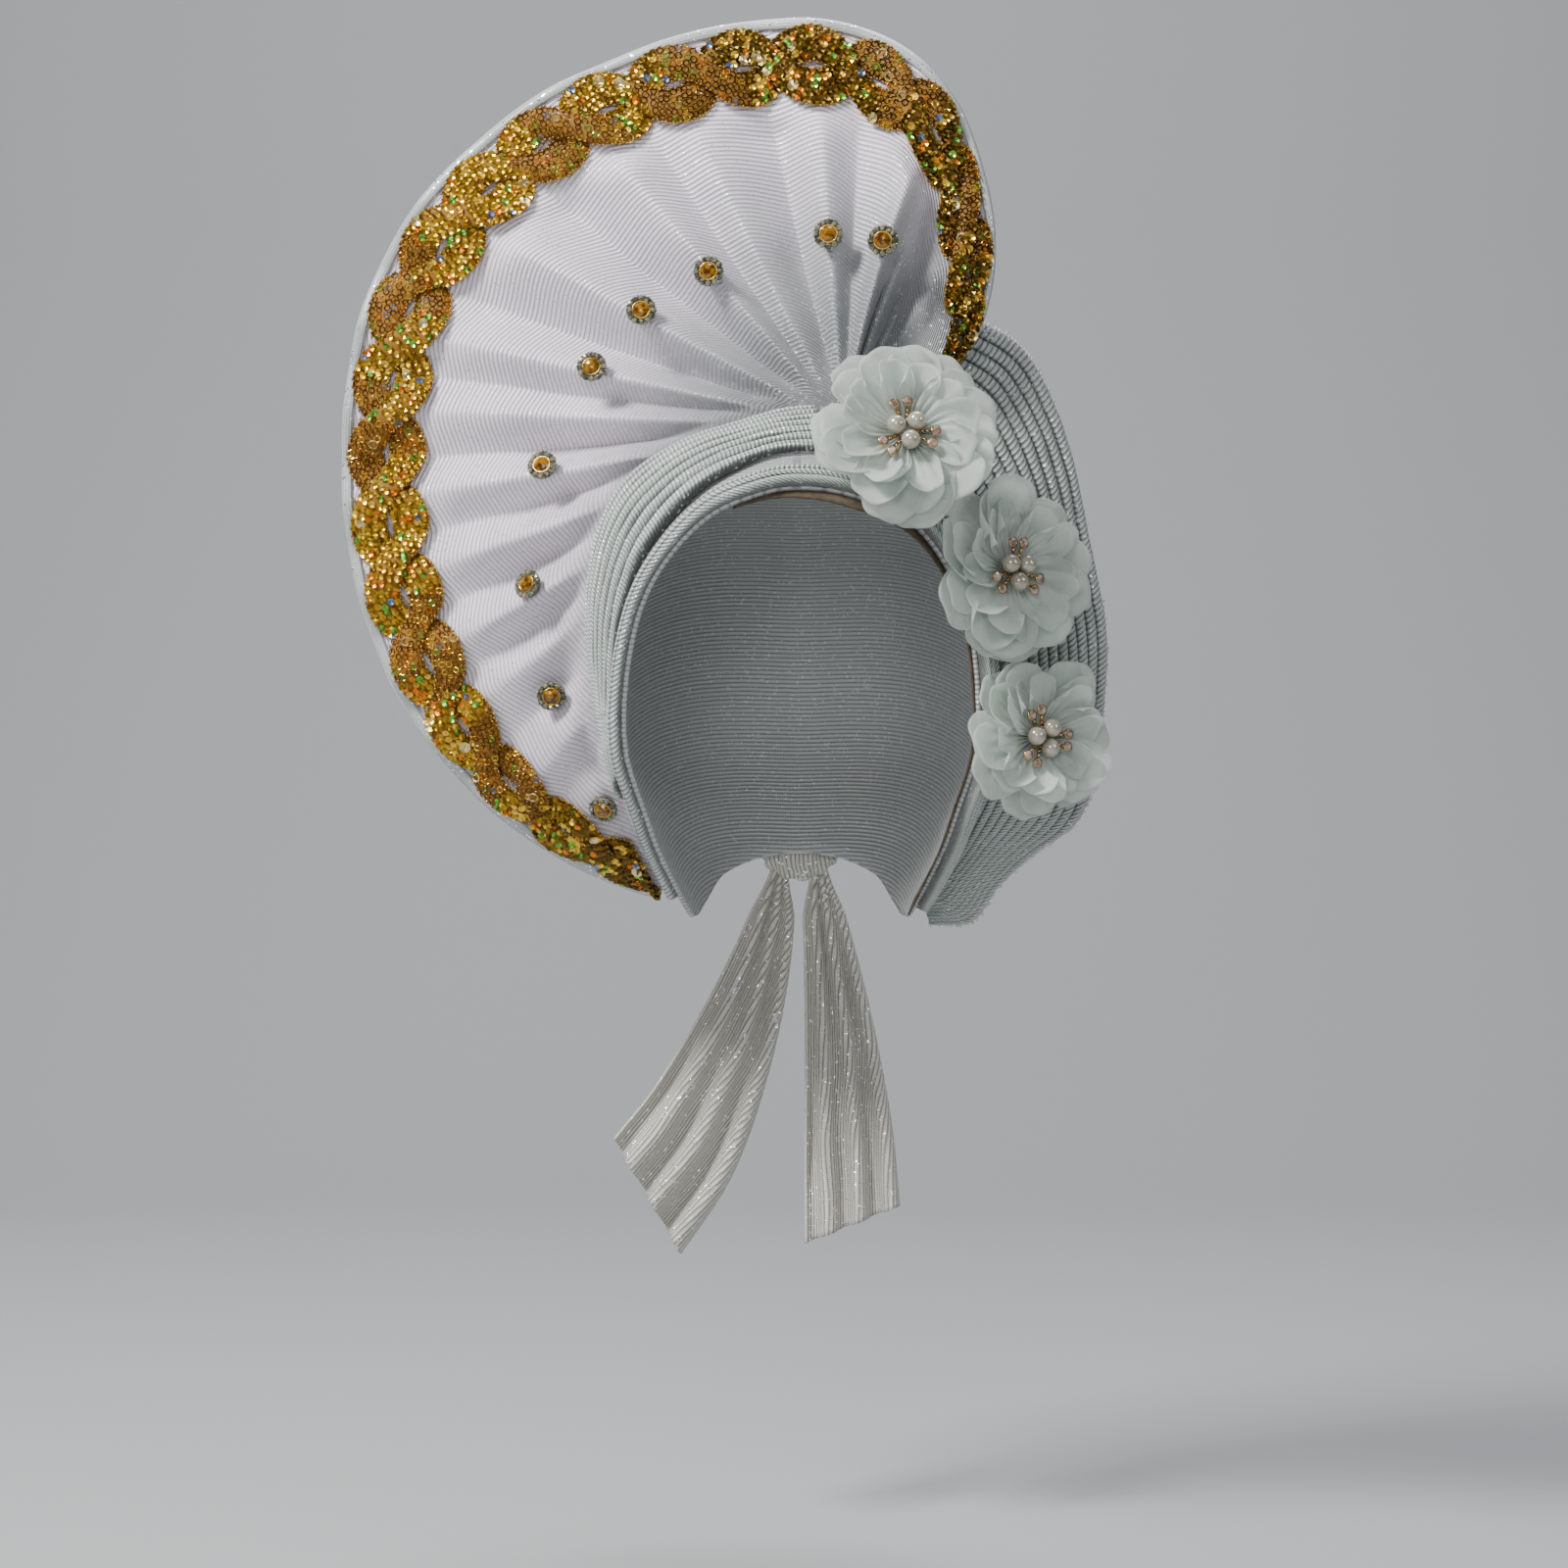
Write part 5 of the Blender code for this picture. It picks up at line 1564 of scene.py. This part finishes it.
def make_flower(k):
    """A flower with its petals, its gilt spray with small crystals and its pearls."""
    name = f"flower_{k + 1}"
    place = flower_place(k)
    make_petals(k, name, place)
    axes = np.array(place.to_3x3())
    base = 2 * PETAL_STEP + SPRAY_LIFT

    def spot(reach, angle, height):
        return place @ Vector((reach * math.cos(angle), reach * math.sin(angle), height))

    beads, turned, crystals = [], [], []
    for arm in range(PEARLS):
        for fork in (-FORK_TURN, FORK_TURN):
            angle = math.pi / 2 + 2 * math.pi * arm / PEARLS + fork
            turn = np.array(Matrix.Rotation(angle, 3, "Z"))
            for part in range(len(ARM_BEADS)):
                share = 0.42 + 0.18 * part
                height = base + COLLAR_LIFT + ARM_RISE * share
                beads.append(spot(SPRAY_REACH * share * 0.98, angle, height))
                turned.append(axes @ turn)
            crystals.append(spot(SPRAY_REACH * 1.08, angle, base + CRYSTAL_LIFT))
    sizes = ARM_BEADS * (2 * PEARLS)
    arm_bead = bead(1.5, 0.55, 0.5)
    node = f"{name}_spray"
    scatter(f"{name}_gilt_arms", arm_bead, beads, turned, sizes, gilt_look, ARM_TINT, node)
    piece = f"{name}_small_crystals"
    scatter(piece, SMALL_GEM, crystals, axes, SMALL_CRYSTAL, rose_look, soft=False)
    piece = f"{name}_crystal_cups"
    scatter(piece, CRYSTAL_CUP, crystals, axes, SMALL_CRYSTAL, gilt_look, CRYSTAL_CUP_TINT)
    collars = []
    around = PEARL_SPACING / (2 * math.sin(math.pi / PEARLS))
    height = 2 * PETAL_STEP + SPRAY_THICKNESS + NARROW_GAP + PEARL_DIAMETER / 2
    for n in range(PEARLS):
        angle = math.radians(PEARL_START + 360 * n / PEARLS)
        piece, node = f"{name}_pearl_bead_{n + 1}", f"{name}_pearl_{n + 1}"
        centre = [spot(around, angle, height)]
        size = PEARL_DIAMETER / 2 * PEARL_SCALE
        scatter(piece, BALL, centre, axes, size, pearl_look, stands_for=node)
        collars.append(spot(around, angle, base + COLLAR_LIFT))
    piece = f"{name}_pearl_collars"
    scatter(piece, COLLAR, collars, axes, COLLAR_SIZE, gilt_look, COLLAR_TINT)


for flower in range(len(FLOWERS["across"])):
    make_flower(flower)


# Studs: rings of the cut stone, with their share of its radius and their height, and how the
# pieces round it sit against its seat
STONE_SIDES = 12
STONE_RINGS = ((0.55, -0.30), (0.98, -0.05), (1.0, 0.08), (0.72, 0.34), (0.36, 0.44), (0.0, 0.50))
STONE = revolved([(radius, height) for radius, height in STONE_RINGS], STONE_SIDES)
STUD_GEM = revolved([(0.1, -0.7), (1.0, 0.0), (0.62, 0.45), (0.02, 0.5)], 8)
CLAW = revolved([(math.sin(a), -math.cos(a)) for a in np.linspace(0.01, 3.13, 6)], 8)
PLATE = revolved([(0.02, -0.30), (0.9, -0.30), (0.97, -0.12), (0.93, 0.02), (0.02, 0.02)], 24)
HOOP_TURNS = np.linspace(0, 2 * math.pi, 9)
HOOP = revolved([(1.0 + 0.12 * math.cos(a), 0.12 * math.sin(a)) for a in HOOP_TURNS], 24)
STONE_LIFT = 0.0006
PLATE_DROP = 0.0008
STUD_GEM_SIZE = 0.00132
CLAW_SIZE = 0.00042
CLAW_TINT = (0.40, 0.38, 0.30)
PLATE_TINT = (0.07, 0.06, 0.04)
HOOP_TINT = (0.60, 0.36, 0.07)


def stud_lift(k, normal):
    """How far the visible folds under a stud stand out past the plain ones."""
    radius = FAN_REACH * STUDS["reach"][k]
    middle = fan_point(STUDS["turn"][k], radius)
    lift = 0.0
    for share in (0.0, 0.5, 1.0):
        for angle in np.linspace(0, 2 * math.pi, 12, endpoint=False):
            turn = STUDS["turn"][k] + math.degrees(STUD_RADIUS * share * math.cos(angle) / radius)
            r = radius + STUD_RADIUS * share * math.sin(angle)
            out = float(np.dot(normal, tuple(fan_spot(turn, r) - middle)))
            plain = float(np.dot(normal, tuple(fan_point(turn, r) - middle)))
            lift = max(lift, out - max(plain, 0.0))
    return lift


def make_stud(k):
    """A stud: a cut stone in a hoop on a plate, with a ring of crystals held by claws."""
    name = f"stud_{k + 1}"
    setting = node_points(f"{name}_setting")
    _, _, axes = np.linalg.svd(setting - setting.mean(axis=0))
    normal = axes[2] if axes[2][1] <= 0 else -axes[2]
    up = unit(np.array([0, 0, 1.0]) - normal * normal[2])
    side = np.cross(up, normal)
    frames = np.stack([side, up, normal], -1)
    stone = node_points(f"{name}_stone")
    seat = stone.mean(axis=0) + normal * (STONE_LIFT + stud_lift(k, normal))
    node = f"{name}_stone"
    size = STONE_RADIUS * 1.02
    scatter(f"{name}_amber", STONE, [seat], frames, size, amber_look, stands_for=node, soft=False)
    gems, gem_frames, claws = [], [], []
    for j in range(STUD_CRYSTALS):
        angle = 2 * math.pi * j / STUD_CRYSTALS
        aside = side * math.cos(angle) + up * math.sin(angle)
        gems.append(seat + aside * STUD_RADIUS * 0.84 - normal * 0.0002)
        gem_frames.append(frames_of(unit(normal + aside * 0.25)[None], side[None])[0])
        angle += math.pi / STUD_CRYSTALS
        between = side * math.cos(angle) + up * math.sin(angle)
        claws.append(seat + between * STUD_RADIUS * 0.98 - normal * 0.0001)
    piece, node = f"{name}_crystals", f"{name}_setting"
    scatter(piece, STUD_GEM, gems, gem_frames, STUD_GEM_SIZE, crystal_look, None, node, soft=False)
    scatter(f"{name}_claws", CLAW, claws, frames, CLAW_SIZE, gilt_look, CLAW_TINT)
    back = seat - normal * PLATE_DROP
    scatter(f"{name}_plate", PLATE, [back], frames, STUD_RADIUS, plate_look, PLATE_TINT)
    size = STONE_RADIUS * 1.08
    scatter(f"{name}_ring", HOOP, [seat + normal * 0.0001], frames, size, gilt_look, HOOP_TINT)


for stud in range(len(STUDS["turn"])):
    make_stud(stud)


# Knots and tails: fineness, cloth, and how a tail is pinched and tucked in under its knot
KNOT_LINES = 40
KNOT_COLUMNS = 64
KNOT_CLOTH = 0.0008
TAIL_LINES = 70
TAIL_COLUMNS = 72
TAIL_CLOTH = 0.0010
TAIL_CREASE = 0.0011
TAIL_TUCK = 0.005
TAIL_PINCHED_ROWS = 8


def make_knot(node, name, look, folds):
    """A gathered knot: a lump with wrinkles that run round it."""
    low, high = (np.array(v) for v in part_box(node))
    centre, radii = (low + high) / 2, (high - low) / 2
    grid = []
    for i in range(KNOT_LINES + 1):
        a = math.pi * (0.02 + 0.96 * i / KNOT_LINES)
        row = []
        for b in np.linspace(0, 2 * math.pi, KNOT_COLUMNS, endpoint=False):
            wrinkle = 1 + 0.05 * math.sin(folds * a + 1.7 * math.sin(b))
            wrinkle += 0.03 * math.sin(3 * b + 4 * a)
            spot = (math.cos(a), math.sin(a) * math.cos(b), math.sin(a) * math.sin(b))
            row.append(centre + radii * np.array(spot) * wrinkle * 0.96)
        grid.append(row)
    grid = np.array(grid)
    item = cloth(name, grid, grid - centre, KNOT_CLOTH, look, node, looped=True)
    return centre


make_knot("gather_knot", "gathered_root", knot_look, 9)
nape_middle = make_knot("nape_knot", "nape_wrap", tie_look, 11)


def make_tail(node, name, rows):
    """A loose end of the tie with soft rolled folds."""
    last = len(rows["down"]) - 1
    keys = list(range(last + 1))
    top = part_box(node)[1].z + rows["down"][0] * TAIL_LENGTH
    below = Vector((nape_middle[0], nape_middle[1], top))
    grid = []
    for s in range(TAIL_LINES + 1):
        v = last * s / TAIL_LINES
        across, depth, down, width, slant = (smooth(keys, rows[column], v) for column in rows)
        centre = below + Vector((across, depth, -down)) * TAIL_LENGTH
        loose = ease(s / TAIL_PINCHED_ROWS)
        centre.z += TAIL_TUCK * (1 - loose)
        width *= 0.5 + 0.5 * loose
        line = Vector((math.cos(math.radians(slant)), 0, -math.sin(math.radians(slant))))
        row = []
        for k in range(TAIL_COLUMNS + 1):
            t = k / TAIL_COLUMNS
            wave = math.sin(2 * math.pi * TAIL_FOLDS * t)
            fold = TAIL_FOLD_DEPTH * width * math.copysign(abs(wave) ** 0.8, wave)
            crease = TAIL_CREASE * noise.noise(Vector((t * 6, v * 1.4, 8.0)))
            out = Vector((0, fold + crease + TAIL_WALL / 2, 0))
            row.append(centre + line * (TAIL_WIDTH * width * (t - 0.5)) + out)
        grid.append(row)
    grid = numbers(grid)
    item = cloth(name, grid, (0, -1, 0), TAIL_CLOTH, tie_look, node, cloth_uv(grid)[..., ::-1])


make_tail("tie_tail_left", "left_end", LEFT_TAIL)
make_tail("tie_tail_right", "right_end", RIGHT_TAIL)


# Stage, light and camera: where the floor ends, the radius of its cove and the top of the wall
FLOOR_FRONT = -3.0
FLOOR_BACK = 1.2
FLOOR_SIDE = 5.0
COVE_RADIUS = 0.9
COVE_STEPS = 12
WALL_TOP = 3.0
FLOOR_TINT = (0.42, 0.44, 0.44)


def make_stage():
    """A plain pale floor that rises to a wall through a cove."""
    profile = [(FLOOR_FRONT, FLOOR_LEVEL)]
    for angle in np.linspace(0, math.pi / 2, COVE_STEPS + 1):
        rise = COVE_RADIUS * (1 - math.cos(angle))
        profile.append((FLOOR_BACK + COVE_RADIUS * math.sin(angle), FLOOR_LEVEL + rise))
    profile.append((FLOOR_BACK + COVE_RADIUS, WALL_TOP))
    points = [(x, y, z) for y, z in profile for x in (-FLOOR_SIDE, FLOOR_SIDE)]
    faces = [(2 * i, 2 * i + 1, 2 * i + 3, 2 * i + 2) for i in range(len(profile) - 1)]
    mesh = bpy.data.meshes.new("stage_floor")
    mesh.from_pydata(points, [], faces)
    mesh.shade_smooth()
    mesh.materials.append(Look("stage_floor", Roughness=0.75, Base_Color=FLOOR_TINT).material)
    item = bpy.data.objects.new("stage_floor", mesh)
    bpy.context.scene.collection.objects.link(item)


def place_in_scene(name, data, place, rotation):
    """A lamp or the camera at its place."""
    item = bpy.data.objects.new(name, data)
    item.location = place
    item.rotation_euler = rotation
    bpy.context.scene.collection.objects.link(item)
    return item


make_stage()
for name, place, target, size, power, colour in zip(*LAMPS.values()):
    lamp = bpy.data.lights.new(name, "AREA")
    lamp.shape = "RECTANGLE"
    lamp.size, lamp.size_y = size
    lamp.energy = power
    lamp.color = colour
    toward = (Vector(target) - Vector(place)).to_track_quat("-Z", "Y").to_euler()
    place_in_scene(name, lamp, place, toward)

world = bpy.data.worlds.new("studio")
world.use_nodes = True
sky = world.node_tree.nodes["Background"]
sky.inputs["Color"].default_value = (*SKY, 1.0)
sky.inputs["Strength"].default_value = SKY_STRENGTH
bpy.context.scene.world = world

camera = bpy.data.cameras.new("camera")
camera.lens = CAMERA_LENS
camera.sensor_width = SENSOR
level = (math.radians(90), 0.0, 0.0)
bpy.context.scene.camera = place_in_scene("camera", camera, CAMERA_PLACE, level)
